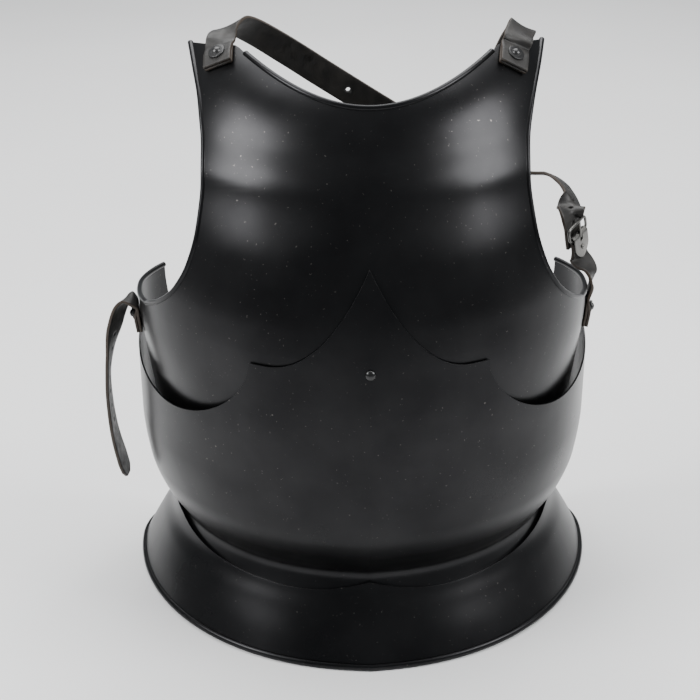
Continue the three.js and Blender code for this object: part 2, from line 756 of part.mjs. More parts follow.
// The loose strap at the right side: it folds over at the rivet and hangs down beside the plate.
function sideStrapLeft(cutters) {
  const rows = [
    onSide(-SIDE_ANGLE, SIDE_RIVET - 14),
    sideLeftEnd,
    onSide(-SIDE_ANGLE, SIDE_RIVET + 8, STRAP),
    row(-206.5, -21, 263.5, -0.1, -1, 0.0),
    row(-210.8, -21, 263.2, -0.2, -0.97, 0.1),
    row(-216.5, -22, 255, -0.35, -0.9, 0.25),
    row(-222.5, -23, 238, -0.36, -0.9, 0.2),
    row(-228.5, -23, 213, -0.1, -0.99, 0.05),
    row(-232.5, -22, 185, 0.02, -1, 0),
    row(-233, -20, 155, 0, -1, 0),
    row(-231, -18, 125, -0.05, -1, 0),
    row(-226.5, -16, 98, -0.12, -0.99, 0),
    row(-224, -15, 86, -0.15, -0.98, 0, { width: 20 }),
    row(-223, -15, 80, -0.15, -0.98, 0, { width: 10 }),
  ];
  return pierce(strapSolid(rows, 3), cutters);
}

// The short strap at the left side that carries the fastened buckle.
function sideStrapRight(cutters) {
  const rows = [
    onSide(SIDE_ANGLE, SIDE_RIVET - 15),
    sideRightEnd,
    onSide(SIDE_ANGLE, SIDE_RIVET + 8, STRAP),
    row(204.3, -15, 267, 0.13, 0.99, 0.02),
    row(204.2, -9, 277, 0.25, 0.95, 0.1),
    inBuckle(buckle, -22, -1.6),
    inBuckle(buckle, -11, 0),
    inBuckle(buckle, -LOOP_RADIUS - GAP, 0),
  ];
  return pierce(strapSolid(rows, 3), cutters);
}

// ---------------------------------------------------------------- assembly

const plateFrame = (form, angle, s, lift = GAP) => {
  const normal = form.normal(angle, s);
  return frameAt(form.at(angle, s).addScaledVector(normal, lift), normal, vec(0, 0, 1));
};

const CENTRE_STATION = 270;
const FLANK = { angle: 103, s: 205 };
const WAIST = { angle: 103, s: 50 };
const SLACK = 1.9; // under a rivet's head and over its peened end, taken together
const PLATE_STACK = 2 * PLATE + LAP_GAP + SLACK;
const FLANK_STACK = PLATE_STACK + plackartForm.half(FLANK.s) - chestForm.half(FLANK.s) - PLATE;
const WAIST_STACK = PLATE_STACK + FLANGE_GAP;
const CENTRE_STACK = PLATE_STACK + RIDGE / 2;
const STRAP_STACK = STRAP_END + STRAP_LIFT + PLATE + SLACK;
const CHAPE_STACK = LOOP_RADIUS + STRAP / 2 + 3 * GAP;
const chapeRivet = new THREE.Matrix4().multiplyMatrices(
  buckle,
  new THREE.Matrix4().makeTranslation(0, -11, LOOP_RADIUS + GAP),
);

const frames = {
  centre: plateFrame(plackartForm, 0.01, CENTRE_STATION),
  flankLeft: plateFrame(plackartForm, -FLANK.angle, FLANK.s),
  flankRight: plateFrame(plackartForm, FLANK.angle, FLANK.s),
  waistLeft: plateFrame(fauldForm, -WAIST.angle, WAIST.s, 3 * GAP),
  waistRight: plateFrame(fauldForm, WAIST.angle, WAIST.s, 3 * GAP),
  shoulderLeft: onStrap(leftEnd),
  shoulderRight: onStrap(rightEnd),
  sideLeft: onStrap(sideLeftEnd),
  sideRight: onStrap(sideRightEnd),
};
const bores = Object.fromEntries(Object.entries(frames).map(([k, f]) => [k, boreSolid(f)]));
const chapeBore = boreSolid(chapeRivet, SMALL_SHANK + 0.15, 5.5);

const BLACK_STEEL = { color: 0x17171a, roughness: 0.28, metalness: 0.9 };
const RIVET_STEEL = { color: 0x2b2b2e, roughness: 0.35, metalness: 0.9 };
const BUCKLE_STEEL = { color: 0x6b6a66, roughness: 0.4, metalness: 0.9 };
const LEATHER = { color: 0x1c1814, roughness: 0.65, metalness: 0 };

const PARTS = [
  ["chest_plate", BLACK_STEEL, () =>
    chestPlate([
      bores.centre,
      bores.flankLeft,
      bores.flankRight,
      bores.shoulderLeft,
      bores.shoulderRight,
      bores.sideLeft,
      bores.sideRight,
    ]),
  ],
  ["plackart", BLACK_STEEL, () =>
    plackart([
      bores.centre,
      bores.flankLeft,
      bores.flankRight,
      bores.waistLeft,
      bores.waistRight,
    ]),
  ],
  ["fauld", BLACK_STEEL, () => fauld([bores.waistLeft, bores.waistRight])],
  ["centre_rivet", RIVET_STEEL, () =>
    rivetSolid(frames.centre, CENTRE_STACK, CENTRE_DOME_RADIUS, 0),
  ],
  ["flank_rivet_left", RIVET_STEEL, () => rivetSolid(frames.flankLeft, FLANK_STACK, 3.6, 0)],
  ["flank_rivet_right", RIVET_STEEL, () => rivetSolid(frames.flankRight, FLANK_STACK, 3.6, 0)],
  ["waist_rivet_left", RIVET_STEEL, () => rivetSolid(frames.waistLeft, WAIST_STACK, 3.6, 0)],
  ["waist_rivet_right", RIVET_STEEL, () => rivetSolid(frames.waistRight, WAIST_STACK, 3.6, 0)],
  ["shoulder_rivet_left", RIVET_STEEL, () => rivetSolid(frames.shoulderLeft, STRAP_STACK)],
  ["shoulder_rivet_right", RIVET_STEEL, () => rivetSolid(frames.shoulderRight, STRAP_STACK)],
  ["side_rivet_left", RIVET_STEEL, () => rivetSolid(frames.sideLeft, STRAP_STACK, 3.4, 5.4)],
  ["side_rivet_right", RIVET_STEEL, () => rivetSolid(frames.sideRight, STRAP_STACK, 3.4, 5.4)],
  ["shoulder_strap_left", LEATHER, () => shoulderStrapLeft([bores.shoulderLeft])],
  ["shoulder_strap_right", LEATHER, () => shoulderStrapRight([bores.shoulderRight])],
  ["side_strap_left", LEATHER, () => sideStrapLeft([bores.sideLeft])],
  ["side_strap_right", LEATHER, () => sideStrapRight([bores.sideRight, chapeBore])],
  ["buckle_frame", BUCKLE_STEEL, () => buckleRing(buckle)],
  ["buckle_tongue", BUCKLE_STEEL, () => tongueSolid(buckle)],
  ["buckle_chape", BUCKLE_STEEL, () => chapeSolid(buckle, [chapeBore])],
  ["chape_rivet", BUCKLE_STEEL, () =>
    rivetSolid(chapeRivet, CHAPE_STACK, SMALL_DOME_RADIUS, 0, SMALL_SHANK),
  ],
  ["rear_buckle", BUCKLE_STEEL, () =>
    unite([
      buckleRing(rearBuckle),
      boxSolid(rearBuckle, [-1.3, 1.3], [0.5, BUCKLE_LENGTH - 2], [0, 2.6]),
    ]),
  ],
];

const breastplate = new THREE.Group();
breastplate.name = "breastplate";
breastplate.position.set(ORIGIN_SHIFT.x, ORIGIN_SHIFT.y, 0);
for (const [name, finish, make] of PARTS) {
  const mesh = new THREE.Mesh(toGeometry(make()), new THREE.MeshStandardMaterial(finish));
  mesh.name = name;
  breastplate.add(mesh);
}

export default breastplate;
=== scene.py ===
"""A late Gothic breastplate in blackened steel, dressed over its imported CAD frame.

The chest plate, the plackart and the flared fauld are walls worked out from short tables of
levels. Leather straps, two buckles and a set of domed rivets make up its harness. The breast
faces -Y, the wearer's left is at +X, and it stands on the fauld's rolled rim at z = 0. Tables
are in millimetres from the body's own axis, and meshes are in metres in the CAD's frame.
"""

from __future__ import annotations

import logging
import math
from collections.abc import Callable, Sequence
from dataclasses import dataclass, field
from enum import Enum

import bmesh
import bpy
from mathutils import Matrix, Vector

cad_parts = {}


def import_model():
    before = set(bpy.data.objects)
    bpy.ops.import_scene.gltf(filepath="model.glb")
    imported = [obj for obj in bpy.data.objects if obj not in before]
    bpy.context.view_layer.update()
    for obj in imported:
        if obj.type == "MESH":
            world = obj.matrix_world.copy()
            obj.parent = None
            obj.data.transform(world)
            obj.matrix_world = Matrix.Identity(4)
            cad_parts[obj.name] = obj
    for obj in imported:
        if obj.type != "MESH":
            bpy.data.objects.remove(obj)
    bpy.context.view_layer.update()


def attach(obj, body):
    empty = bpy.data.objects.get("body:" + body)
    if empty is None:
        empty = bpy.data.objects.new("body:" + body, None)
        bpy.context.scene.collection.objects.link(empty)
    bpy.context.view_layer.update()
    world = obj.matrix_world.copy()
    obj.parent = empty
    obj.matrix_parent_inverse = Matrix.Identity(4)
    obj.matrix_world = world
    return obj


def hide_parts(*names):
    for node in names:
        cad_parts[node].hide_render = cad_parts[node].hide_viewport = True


LOG = logging.getLogger("breastplate")

MM = 0.001
BODY = "root"
ORIGIN_SHIFT = Vector((10.4, 72.5, 0.0))  # from the body's axis to the part's own frame

PLATE = 1.5  # steel thickness
LAP = PLATE + 1.2  # the plackart's face over the chest plate's
FLANGE = PLATE + 1.7  # the fauld's face over the plackart's foot
NECK_ROLL = 2.6
ARM_ROLL = 2.4
RIM_ROLL = 3.0
REAR_EDGE_Y = 50.0
SIDE_RADIUS = 124.0
REAR_ANGLE = 90 + math.degrees(math.asin(REAR_EDGE_Y / SIDE_RADIUS))

CHEST_BOTTOM = 112.0
JUNCTION = 279.0  # where the breast rises out of the girth band
SHOULDER_STATION = 535.0
NECK_STATION = 478.0
NECK_ANGLE = 40.0
NECK_ROLL_ANGLE = 37.0
NECK_CURVE = 0.0475

PEAK_RISE = 81.0
PEAK_FOOT = 270.5
PEAK_HALF = 24.0
CUSP = 28.5
ARC_LOW = 206.0
ARC_LOW_ANGLE = 58.0
ARC_REAR_RISE = 45.0
PLACKART_BOTTOM = 36.0

FAULD_LOW = 53.2
FAULD_PEAK = 9.5
FAULD_PEAK_HALF = 22.0
FAULD_SIDE_RISE = 0.0047
FAULD_LEVEL_ANGLE = 70.0

RIDGE = 1.6
RIDGE_WIDTH = 16.0

STRAP_WIDTH = 25.0
STRAP = 3.0
STRAP_END = 5.4
STRAP_LIFT = 0.7
LAYER = 2.6  # each of the two layers at a strap's end
GAP = 0.35

BUCKLE_WIDTH = 32.0
BUCKLE_LENGTH = 15.0
BUCKLE_BAR = 2.6
LOOP_BORE = 2.2
LOOP_RADIUS = 3.4


# ---------------------------------------------------------------- curves and forms


def smooth(xs: Sequence[float], ys: Sequence[float]) -> Callable[[float], float]:
    """A monotone cubic through pairs, held level past its ends.

    Args:
        xs: Rising positions.
        ys: The value at each position.

    Returns:
        The curve as a function.
    """
    steps = [b - a for a, b in zip(xs, xs[1:])]
    slopes = [(b - a) / h for a, b, h in zip(ys, ys[1:], steps)]
    tangents = [slopes[0]]
    for i in range(1, len(xs) - 1):
        before, after = slopes[i - 1], slopes[i]
        if before * after <= 0:
            tangents.append(0.0)
            continue
        w1 = 2 * steps[i] + steps[i - 1]
        w2 = steps[i] + 2 * steps[i - 1]
        tangents.append((w1 + w2) / (w1 / before + w2 / after))
    tangents.append(slopes[-1])

    def curve(value: float) -> float:
        """The curve's value at one position."""
        x = min(max(value, xs[0]), xs[-1])
        i = 0
        while i < len(xs) - 2 and x > xs[i + 1]:
            i += 1
        t = (x - xs[i]) / steps[i]
        rise = 3 * t * t - 2 * t**3
        bend = tangents[i] * (t - 2 * t * t + t**3) + tangents[i + 1] * (t**3 - t * t)
        return ys[i] * (1 - rise) + ys[i + 1] * rise + steps[i] * bend

    return curve


def lerp(a: float, b: float, t: float) -> float:
    """The value a fraction t of the way from a to b."""
    return a + (b - a) * t


def spread(first: float, last: float, count: int) -> list[float]:
    """Count evenly spaced values, both ends included."""
    return [lerp(first, last, i / (count - 1)) for i in range(count)]


def ease_down(s: float, low: float, high: float) -> float:
    """One below low, zero above high, and a smooth fall between them."""
    t = min(max((high - s) / (high - low), 0.0), 1.0)
    return t * t * (3 - 2 * t)


@dataclass(frozen=True)
class Level:
    """One level of a plate: station, height, half width, front depth and its centre."""

    s: float
    z: float
    half: float
    front: float
    x: float = 0.0
    y: float = 0.0


class Form:
    """A plate's face, walked by the angle from the front and the station up it."""

    def __init__(self, levels: Sequence[Level], ridge: Callable[[float], float]) -> None:
        """Fits a curve through each column of the levels.

        Args:
            levels: The levels, from the lowest station up.
            ridge: The medial ridge's height at a station.
        """
        stations = [level.s for level in levels]
        self.z = smooth(stations, [level.z for level in levels])
        self.half = smooth(stations, [level.half for level in levels])
        self.front = smooth(stations, [level.front for level in levels])
        self.centre_x = smooth(stations, [level.x for level in levels])
        self.centre_y = smooth(stations, [level.y for level in levels])
        self.ridge = ridge

    def at(self, angle: float, s: float) -> Vector:
        """The point of the face at an angle and a station."""
        a = math.radians(angle)
        x = self.half(s) * math.sin(a)
        c = math.cos(a)
        depth = self.front(s) if c >= 0 else SIDE_RADIUS
        crease = self.ridge(s) * math.exp(-abs(x) / RIDGE_WIDTH)
        return Vector((self.centre_x(s) + x, self.centre_y(s) - depth * c - crease, self.z(s)))

    def normal(self, angle: float, s: float) -> Vector:
        """The outward normal at an angle and a station."""
        side = -1.0 if angle < 0 else 1.0
        across = (self.at(angle + side * 0.6, s) - self.at(angle + side * 0.1, s)) * side
        return across.cross(self.at(angle, s + 0.5) - self.at(angle, s - 0.5)).normalized()

    def out(self, angle: float, s: float, lift: float) -> Vector:
        """A point lifted off the face along its normal."""
        return self.at(angle, s) + self.normal(angle, s) * lift

    def angle_at_x(self, x: float, s: float) -> float:
        """The angle of the point with a given x, in front of the widest line."""
        return math.degrees(math.asin((x - self.centre_x(s)) / self.half(s)))


CHEST_LEVELS = (
    Level(105, 105, 184, 168),
    Level(170, 170, 190, 185),
    Level(220, 220, 196, 190.5),
    Level(262, 262, 200.5, 189.6),
    Level(300, 300, 199.5, 184.2),
    Level(350, 350, 190, 169.8),
    Level(400, 400, 176, 147, 0, 1),
    Level(440, 434, 169, 139, 1, 17),
    Level(480, 461, 167, 142, 3, 42),
    Level(520, 479, 168, 150, 4.2, 74),
    Level(565, 493, 170, 161, 5, 112),
)
FAULD_LEVELS = (
    Level(0, 0, 213.5, 217),
    Level(20, 20, 203, 203),
    Level(40, 40, 191.5, 188),
    Level(56, 56, 181.5, 177.5),
    Level(68, 68, 178.3, 173.3),
    Level(80, 80, 178, 172.5),
)
CHEST = Form(CHEST_LEVELS, lambda s: 0.0)
FAULD = Form(FAULD_LEVELS, lambda s: RIDGE)


def flange(s: float) -> Level:
    """A level of the plackart's foot, inside the fauld."""
    return Level(s, s, FAULD.half(s) - FLANGE, FAULD.front(s) - FLANGE)


def lapped(s: float) -> Level:
    """A level of the plackart where it lies on the chest plate."""
    return Level(s, s, CHEST.half(s) + LAP, CHEST.front(s) + LAP)


PLACKART_LEVELS = (
    *(flange(s) for s in (34, 44, 56)),
    Level(67, 67, 175, 170),
    Level(78, 78, 182, 174.5),
    Level(95, 95, 192, 184.5),
    Level(120, 120, 200, 193.5),
    Level(160, 160, 203.8, 198.2),
    Level(200, 200, 203.8, 198.2),
    *(lapped(s) for s in (268, 290, 310, 330, 356)),
)
PLACKART = Form(PLACKART_LEVELS, lambda s: RIDGE * ease_down(s, 220, 300))

# The arm openings' edge: station and angle up the front, then angle and station along the side.
ARM_FRONT = (
    (279, 69.5),
    (292, 60.5),
    (311, 52.8),
    (335, 48.7),
    (362, 47.1),
    (385, 47.6),
    (421, 50.1),
    (462, 54.5),
    (500, 59.2),
    (535, 62.9),
)
ARM_SIDE = ((69.5, 279), (80, 272.8), (92, 268.8), (104, 267.2), (116, 266.8))
arm_front_angle = smooth(*zip(*ARM_FRONT))
arm_side_station = smooth(*zip(*ARM_SIDE))


def neck_or_shoulder(angle: float) -> float:
    """The station of the breast's upper edge at an angle."""
    a = abs(angle)
    inner = NECK_STATION + NECK_CURVE * NECK_ANGLE**2
    if a <= NECK_ANGLE:
        return NECK_STATION + NECK_CURVE * a * a
    outer = arm_front_angle(SHOULDER_STATION)
    return lerp(inner, SHOULDER_STATION, (a - NECK_ANGLE) / (outer - NECK_ANGLE))


def plackart_top(angle: float) -> float:
    """The station of the plackart's cusped upper edge at an angle."""
    a = abs(angle)
    if a <= PEAK_HALF:
        return PEAK_FOOT + PEAK_RISE * (1 - a / PEAK_HALF) ** 2.1
    if a <= CUSP:
        return PEAK_FOOT
    if a <= ARC_LOW_ANGLE:
        across = (ARC_LOW_ANGLE - a) / (ARC_LOW_ANGLE - CUSP)
        return PEAK_FOOT - (PEAK_FOOT - ARC_LOW) * max(1 - across**2, 0.0) ** 0.55
    return ARC_LOW + ARC_REAR_RISE * ((a - ARC_LOW_ANGLE) / (REAR_ANGLE - ARC_LOW_ANGLE)) ** 1.6


def fauld_top(angle: float) -> float:
    """The station of the fauld's upper edge at an angle."""
    a = abs(angle)
    past = max(min(a, FAULD_LEVEL_ANGLE) - FAULD_PEAK_HALF, 0.0)
    peak = FAULD_PEAK * max(1 - a / FAULD_PEAK_HALF, 0.0) ** 2
    return FAULD_LOW + FAULD_SIDE_RISE * past**2 + peak


def to_part(point: Vector) -> Vector:
    """A point of the body's tables as a point of the part, in metres."""
    return (point + ORIGIN_SHIFT) * MM


# ---------------------------------------------------------------- finishes


class Finish(Enum):
    """The material slots of the record."""

    PLATE = "plate_steel"
    RIVET = "rivet_steel"
    BUCKLE = "buckle_steel"
    LEATHER = "strap_leather"


class NodeMaterial:
    """A material under construction, with short ways to add and join its nodes."""

    def __init__(self, name: str) -> None:
        """Starts a material with one principled shader.

        Args:
            name: The material's name.
        """
        self.material = bpy.data.materials.new(name)
        self.material.use_nodes = True
        self.tree = self.material.node_tree
        self.shader = next(n for n in self.tree.nodes if n.type == "BSDF_PRINCIPLED")
        self.place = self.add("ShaderNodeTexCoord").outputs["Object"]

    def add(self, kind: str, **settings: object) -> bpy.types.Node:
        """Adds a node and sets its properties."""
        node = self.tree.nodes.new(kind)
        for name, value in settings.items():
            setattr(node, name, value)
        return node

    def link(self, source: bpy.types.NodeSocket, target: bpy.types.NodeSocket) -> None:
        """Joins two sockets."""
        self.tree.links.new(source, target)

    def noise(self, scale: float, detail: float = 4.0, stretch: Sequence[float] = (1, 1, 1)) -> bpy.types.NodeSocket:
        """Noise on object coordinates.

        Args:
            scale: Cycles to the metre.
            detail: Octaves.
            stretch: Scale along each axis.

        Returns:
            The noise's value.
        """
        mapping = self.add("ShaderNodeMapping")
        mapping.inputs["Scale"].default_value = stretch
        self.link(self.place, mapping.inputs["Vector"])
        node = self.add("ShaderNodeTexNoise")
        node.inputs["Scale"].default_value = scale
        node.inputs["Detail"].default_value = detail
        self.link(mapping.outputs["Vector"], node.inputs["Vector"])
        return node.outputs["Fac"]

    def cells(self, scale: float, feature: str = "F1") -> bpy.types.NodeSocket:
        """The distance of a Voronoi pattern on object coordinates."""
        node = self.add("ShaderNodeTexVoronoi", feature=feature)
        node.inputs["Scale"].default_value = scale
        self.link(self.place, node.inputs["Vector"])
        return node.outputs["Distance"]

    def ramp(
        self,
        source: bpy.types.NodeSocket,
        low: tuple[float, Sequence[float]],
        high: tuple[float, Sequence[float]],
    ) -> bpy.types.NodeSocket:
        """A colour ramp between two stops, each a position and a colour."""
        node = self.add("ShaderNodeValToRGB")
        for element, (position, colour) in zip(node.color_ramp.elements, (low, high)):
            element.position = position
            element.color = (*colour, 1.0)
        self.link(source, node.inputs["Fac"])
        return node.outputs["Color"]

    def scale_to(self, source: bpy.types.NodeSocket, low: float, high: float) -> bpy.types.NodeSocket:
        """Maps a value of 0.3 to 0.7 onto a range."""
        node = self.add("ShaderNodeMapRange")
        node.inputs["From Min"].default_value = 0.3
        node.inputs["From Max"].default_value = 0.7
        node.inputs["To Min"].default_value = low
        node.inputs["To Max"].default_value = high
        self.link(source, node.inputs["Value"])
        return node.outputs["Result"]

    def mix(
        self,
        amount: bpy.types.NodeSocket,
        first: bpy.types.NodeSocket,
        second: Sequence[float],
    ) -> bpy.types.NodeSocket:
        """Mixes a colour towards a constant one."""
        node = self.add("ShaderNodeMix", data_type="RGBA")
        self.link(amount, node.inputs[0])
        self.link(first, node.inputs[6])
        node.inputs[7].default_value = (*second, 1.0)
        return node.outputs[2]

    def bump(self, layers: Sequence[tuple[bpy.types.NodeSocket, float, float]]) -> None:
        """Chains bumps into the shader's normal.

        Args:
            layers: Each layer's height, strength and distance in metres.
        """
        normal = None
        for height, strength, distance in layers:
            node = self.add("ShaderNodeBump")
            node.inputs["Strength"].default_value = strength
            node.inputs["Distance"].default_value = distance
            self.link(height, node.inputs["Height"])
            if normal is not None:
                self.link(normal, node.inputs["Normal"])
            normal = node.outputs["Normal"]
        self.link(normal, self.shader.inputs["Normal"])


@dataclass(frozen=True)
class SteelFinish:
    """Blackened steel: a dark oxide with faint mottling, fine scratches and specks."""

    name: str
    dark: tuple[float, float, float]
    light: tuple[float, float, float]
    smoothness: tuple[float, float]
    speck: tuple[float, float, float] = (0.16, 0.15, 0.14)
    metal: float = 0.85

    def build(self) -> bpy.types.Material:
        """Returns the material."""
        m = NodeMaterial(self.name)
        base = m.ramp(m.noise(14, 6), (0.35, self.dark), (0.7, self.light))
        specks = m.ramp(m.noise(420, 2), (0.71, (0, 0, 0)), (0.76, (1, 1, 1)))
        scratch = m.ramp(m.noise(60, 3, (1, 1, 14)), (0.7, (0, 0, 0)), (0.74, (1, 1, 1)))
        worn = m.add("ShaderNodeMath", operation="MULTIPLY")
        m.link(specks, worn.inputs[0])
        m.link(m.noise(22, 2), worn.inputs[1])
        colour = m.mix(worn.outputs["Value"], base, self.speck)
        m.link(colour, m.shader.inputs["Base Color"])
        rough = m.add("ShaderNodeMath", operation="MULTIPLY_ADD")
        m.link(scratch, rough.inputs[0])
        rough.inputs[1].default_value = 0.06
        m.link(m.scale_to(m.noise(9, 5), *self.smoothness), rough.inputs[2])
        m.link(rough.outputs["Value"], m.shader.inputs["Roughness"])
        m.shader.inputs["Metallic"].default_value = self.metal
        m.bump(((m.noise(11, 2), 0.12, 0.004), (m.noise(900, 3), 0.05, 0.0002)))
        return m.material


@dataclass(frozen=True)
class LeatherFinish:
    """Black bridle leather with a fine grain, paler along its cut edges."""

    name: str
    dark: tuple[float, float, float]
    light: tuple[float, float, float]
    edge: tuple[float, float, float]

    def build(self) -> bpy.types.Material:
        """Returns the material."""
        m = NodeMaterial(self.name)
        base = m.ramp(m.noise(90, 5), (0.35, self.dark), (0.7, self.light))
        cut = m.add("ShaderNodeAttribute", attribute_name="cut_edge")
        colour = m.mix(cut.outputs["Fac"], base, self.edge)
        m.link(colour, m.shader.inputs["Base Color"])
        m.link(m.scale_to(m.noise(160, 4), 0.42, 0.62), m.shader.inputs["Roughness"])
        m.shader.inputs["Specular IOR Level"].default_value = 0.45
        grain = m.cells(900, "DISTANCE_TO_EDGE")
        m.bump(((m.noise(70, 3), 0.25, 0.0008), (grain, 0.5, 0.00025), (m.noise(2400, 2), 0.2, 0.0001)))
        return m.material


FINISHES = {
    Finish.PLATE: SteelFinish("blackened_steel", (0.012, 0.012, 0.013), (0.022, 0.022, 0.023), (0.26, 0.34)),
    Finish.RIVET: SteelFinish("rivet_steel", (0.03, 0.03, 0.031), (0.08, 0.08, 0.08), (0.22, 0.4)),
    Finish.BUCKLE: SteelFinish("buckle_steel", (0.12, 0.118, 0.112), (0.3, 0.29, 0.275), (0.28, 0.45)),
    Finish.LEATHER: LeatherFinish(
        "black_leather", (0.006, 0.0055, 0.005), (0.016, 0.014, 0.012), (0.035, 0.024, 0.016)
    ),
}


class Dresser:
    """Keeps the finished materials and hands each piece to the frame."""

    def __init__(self) -> None:
        """Builds every material once."""
        self.materials = {finish: maker.build() for finish, maker in FINISHES.items()}

    def dress(self, piece: bpy.types.Object, finish: Finish, *nodes: str) -> bpy.types.Object:
        """Gives a piece its material and body, and hides the CAD nodes that it stands for.

        Args:
            piece: The finished object.
            finish: Its material slot.
            nodes: The CAD nodes that it replaces.

        Returns:
            The same piece.
        """
        piece.data.materials.clear()
        piece.data.materials.append(self.materials[finish])
        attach(piece, BODY)
        if nodes:
            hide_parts(*nodes)
        LOG.info("%s: %d faces", piece.name, len(piece.data.polygons))
        return piece


# ---------------------------------------------------------------- mesh helpers


def new_object(name: str, mesh: bpy.types.Mesh) -> bpy.types.Object:
    """Puts a mesh into the scene as an object at the origin."""
    obj = bpy.data.objects.new(name, mesh)
    bpy.context.scene.collection.objects.link(obj)
    return obj


def mesh_from(name: str, points: Sequence[Vector], faces: Sequence[Sequence[int]]) -> bpy.types.Mesh:
    """A closed mesh in the part's frame, from points in the body's millimetres.

    Args:
        name: The mesh's name.
        points: Its vertices.
        faces: Each face's vertices.

    Returns:
        The mesh, with its faces turned outwards.
    """
    mesh = bpy.data.meshes.new(name)
    mesh.from_pydata([to_part(p) for p in points], [], [list(f) for f in faces])
    work = bmesh.new()
    work.from_mesh(mesh)
    bmesh.ops.recalc_face_normals(work, faces=work.faces)
    work.to_mesh(mesh)
    work.free()
    return mesh


def apply_modifiers(obj: bpy.types.Object) -> None:
    """Turns the object's evaluated form into its plain mesh."""
    graph = bpy.context.evaluated_depsgraph_get()
    graph.update()
    mesh = bpy.data.meshes.new_from_object(obj.evaluated_get(graph))
    obj.modifiers.clear()
    obj.data = mesh


def soften(obj: bpy.types.Object, width: float, angle: float = 40, segments: int = 2) -> None:
    """Bevels the sharp edges and shades the faces smooth.

    Args:
        obj: The object.
        width: The bevel's width in millimetres.
        angle: Edges sharper than this are bevelled, in degrees.
        segments: The bevel's segments.
    """
    bevel = obj.modifiers.new("bevel", "BEVEL")
    bevel.width = width * MM
    bevel.segments = segments
    bevel.limit_method = "ANGLE"
    bevel.angle_limit = math.radians(angle)
    bevel.harden_normals = False
    obj.data.shade_smooth()
    weighted = obj.modifiers.new("weighted", "WEIGHTED_NORMAL")
    weighted.keep_sharp = True
    apply_modifiers(obj)


def net_of(rows: Sequence[Sequence[tuple[float, float]]]) -> tuple[list, list]:
    """Rows of equal counts as one list of points and the quads between them."""
    width = len(rows[0])
    quads = []
    for j in range(len(rows) - 1):
        for i in range(width - 1):
            a = j * width + i
            quads.append((a, a + 1, a + 1 + width, a + width))
    return [p for row in rows for p in row], quads


def plate_mesh(name: str, form: Form, net: list, quads: list) -> bpy.types.Mesh:
    """A wall of the plate's thickness, inwards from a form's face.

    Args:
        name: The mesh's name.
        form: The face.
        net: The face's points, as angle and station.
        quads: The faces between them.

    Returns:
        The closed mesh.
    """
    count = len(net)
    points = [form.at(a, s) for a, s in net] + [form.out(a, s, -PLATE) for a, s in net]
    faces = [tuple(q) for q in quads] + [tuple(i + count for i in reversed(q)) for q in quads]
    directed = {(q[i], q[(i + 1) % 4]) for q in quads for i in range(4)}
    faces += [(b, a, a + count, b + count) for a, b in directed if (b, a) not in directed]
    return mesh_from(name, points, faces)


def tube_faces(rings: int, sides: int) -> list[tuple[int, ...]]:
    """The faces of a closed bar: its sides, then a cap at each end."""
    faces: list[tuple[int, ...]] = []
    for j in range(rings - 1):
        for i in range(sides):
            a = j * sides + i
            b = j * sides + (i + 1) % sides
            faces.append((a, b, b + sides, a + sides))
    faces.append(tuple(range(sides - 1, -1, -1)))
    faces.append(tuple((rings - 1) * sides + i for i in range(sides)))
    return faces


def join(name: str, objects: Sequence[bpy.types.Object]) -> bpy.types.Object:
    """Joins objects at the origin into one, named as given."""
    work = bmesh.new()
    for obj in objects:
        work.from_mesh(obj.data)
        bpy.data.objects.remove(obj)
    mesh = bpy.data.meshes.new(name)
    work.to_mesh(mesh)
    work.free()
    return new_object(name, mesh)


# ---------------------------------------------------------------- geometry nodes


class NodeRecipe:
    """A Geometry Nodes tree under construction, with named inputs."""

    def __init__(self, name: str) -> None:
        """Starts a tree with one geometry input and one geometry output.

        Args:
            name: The tree's name.
        """
        self.tree = bpy.data.node_groups.new(name, "GeometryNodeTree")
        self.tree.is_modifier = True
        self.tree.interface.new_socket("Geometry", in_out="INPUT", socket_type="NodeSocketGeometry")
        self.tree.interface.new_socket("Geometry", in_out="OUTPUT", socket_type="NodeSocketGeometry")
        self.identifiers: dict[str, str] = {}
        self.source = self.tree.nodes.new("NodeGroupInput")
        self.result = self.tree.nodes.new("NodeGroupOutput")

    def input(self, name: str, kind: str) -> None:
        """Adds a named input of a socket kind."""
        socket = self.tree.interface.new_socket(name, in_out="INPUT", socket_type=kind)
        self.identifiers[name] = socket.identifier

    def add(self, kind: str, **settings: object) -> bpy.types.Node:
        """Adds a node and sets its properties."""
        node = self.tree.nodes.new(kind)
        for name, value in settings.items():
            setattr(node, name, value)
        return node

    def link(self, source: bpy.types.NodeSocket, target: bpy.types.NodeSocket) -> None:
        """Joins two sockets."""
        self.tree.links.new(source, target)

    def finish(self, geometry: bpy.types.NodeSocket) -> None:
        """Ends the tree with realised instances and a material input."""
        self.input("Material", "NodeSocketMaterial")
        realise = self.add("GeometryNodeRealizeInstances")
        paint = self.add("GeometryNodeSetMaterial")
        self.link(geometry, realise.inputs["Geometry"])
        self.link(realise.outputs["Geometry"], paint.inputs["Geometry"])
        self.link(self.source.outputs["Material"], paint.inputs["Material"])
        self.link(paint.outputs["Geometry"], self.result.inputs["Geometry"])

    def run(self, obj: bpy.types.Object, **values: object) -> None:
        """Runs the tree on an object and keeps its result as a plain mesh.

        Args:
            obj: The object whose geometry is the tree's input.
            values: The named inputs' values.
        """
        modifier = obj.modifiers.new(self.tree.name, "NODES")
        modifier.node_group = self.tree
        for name, value in values.items():
            modifier[self.identifiers[name]] = value
        apply_modifiers(obj)


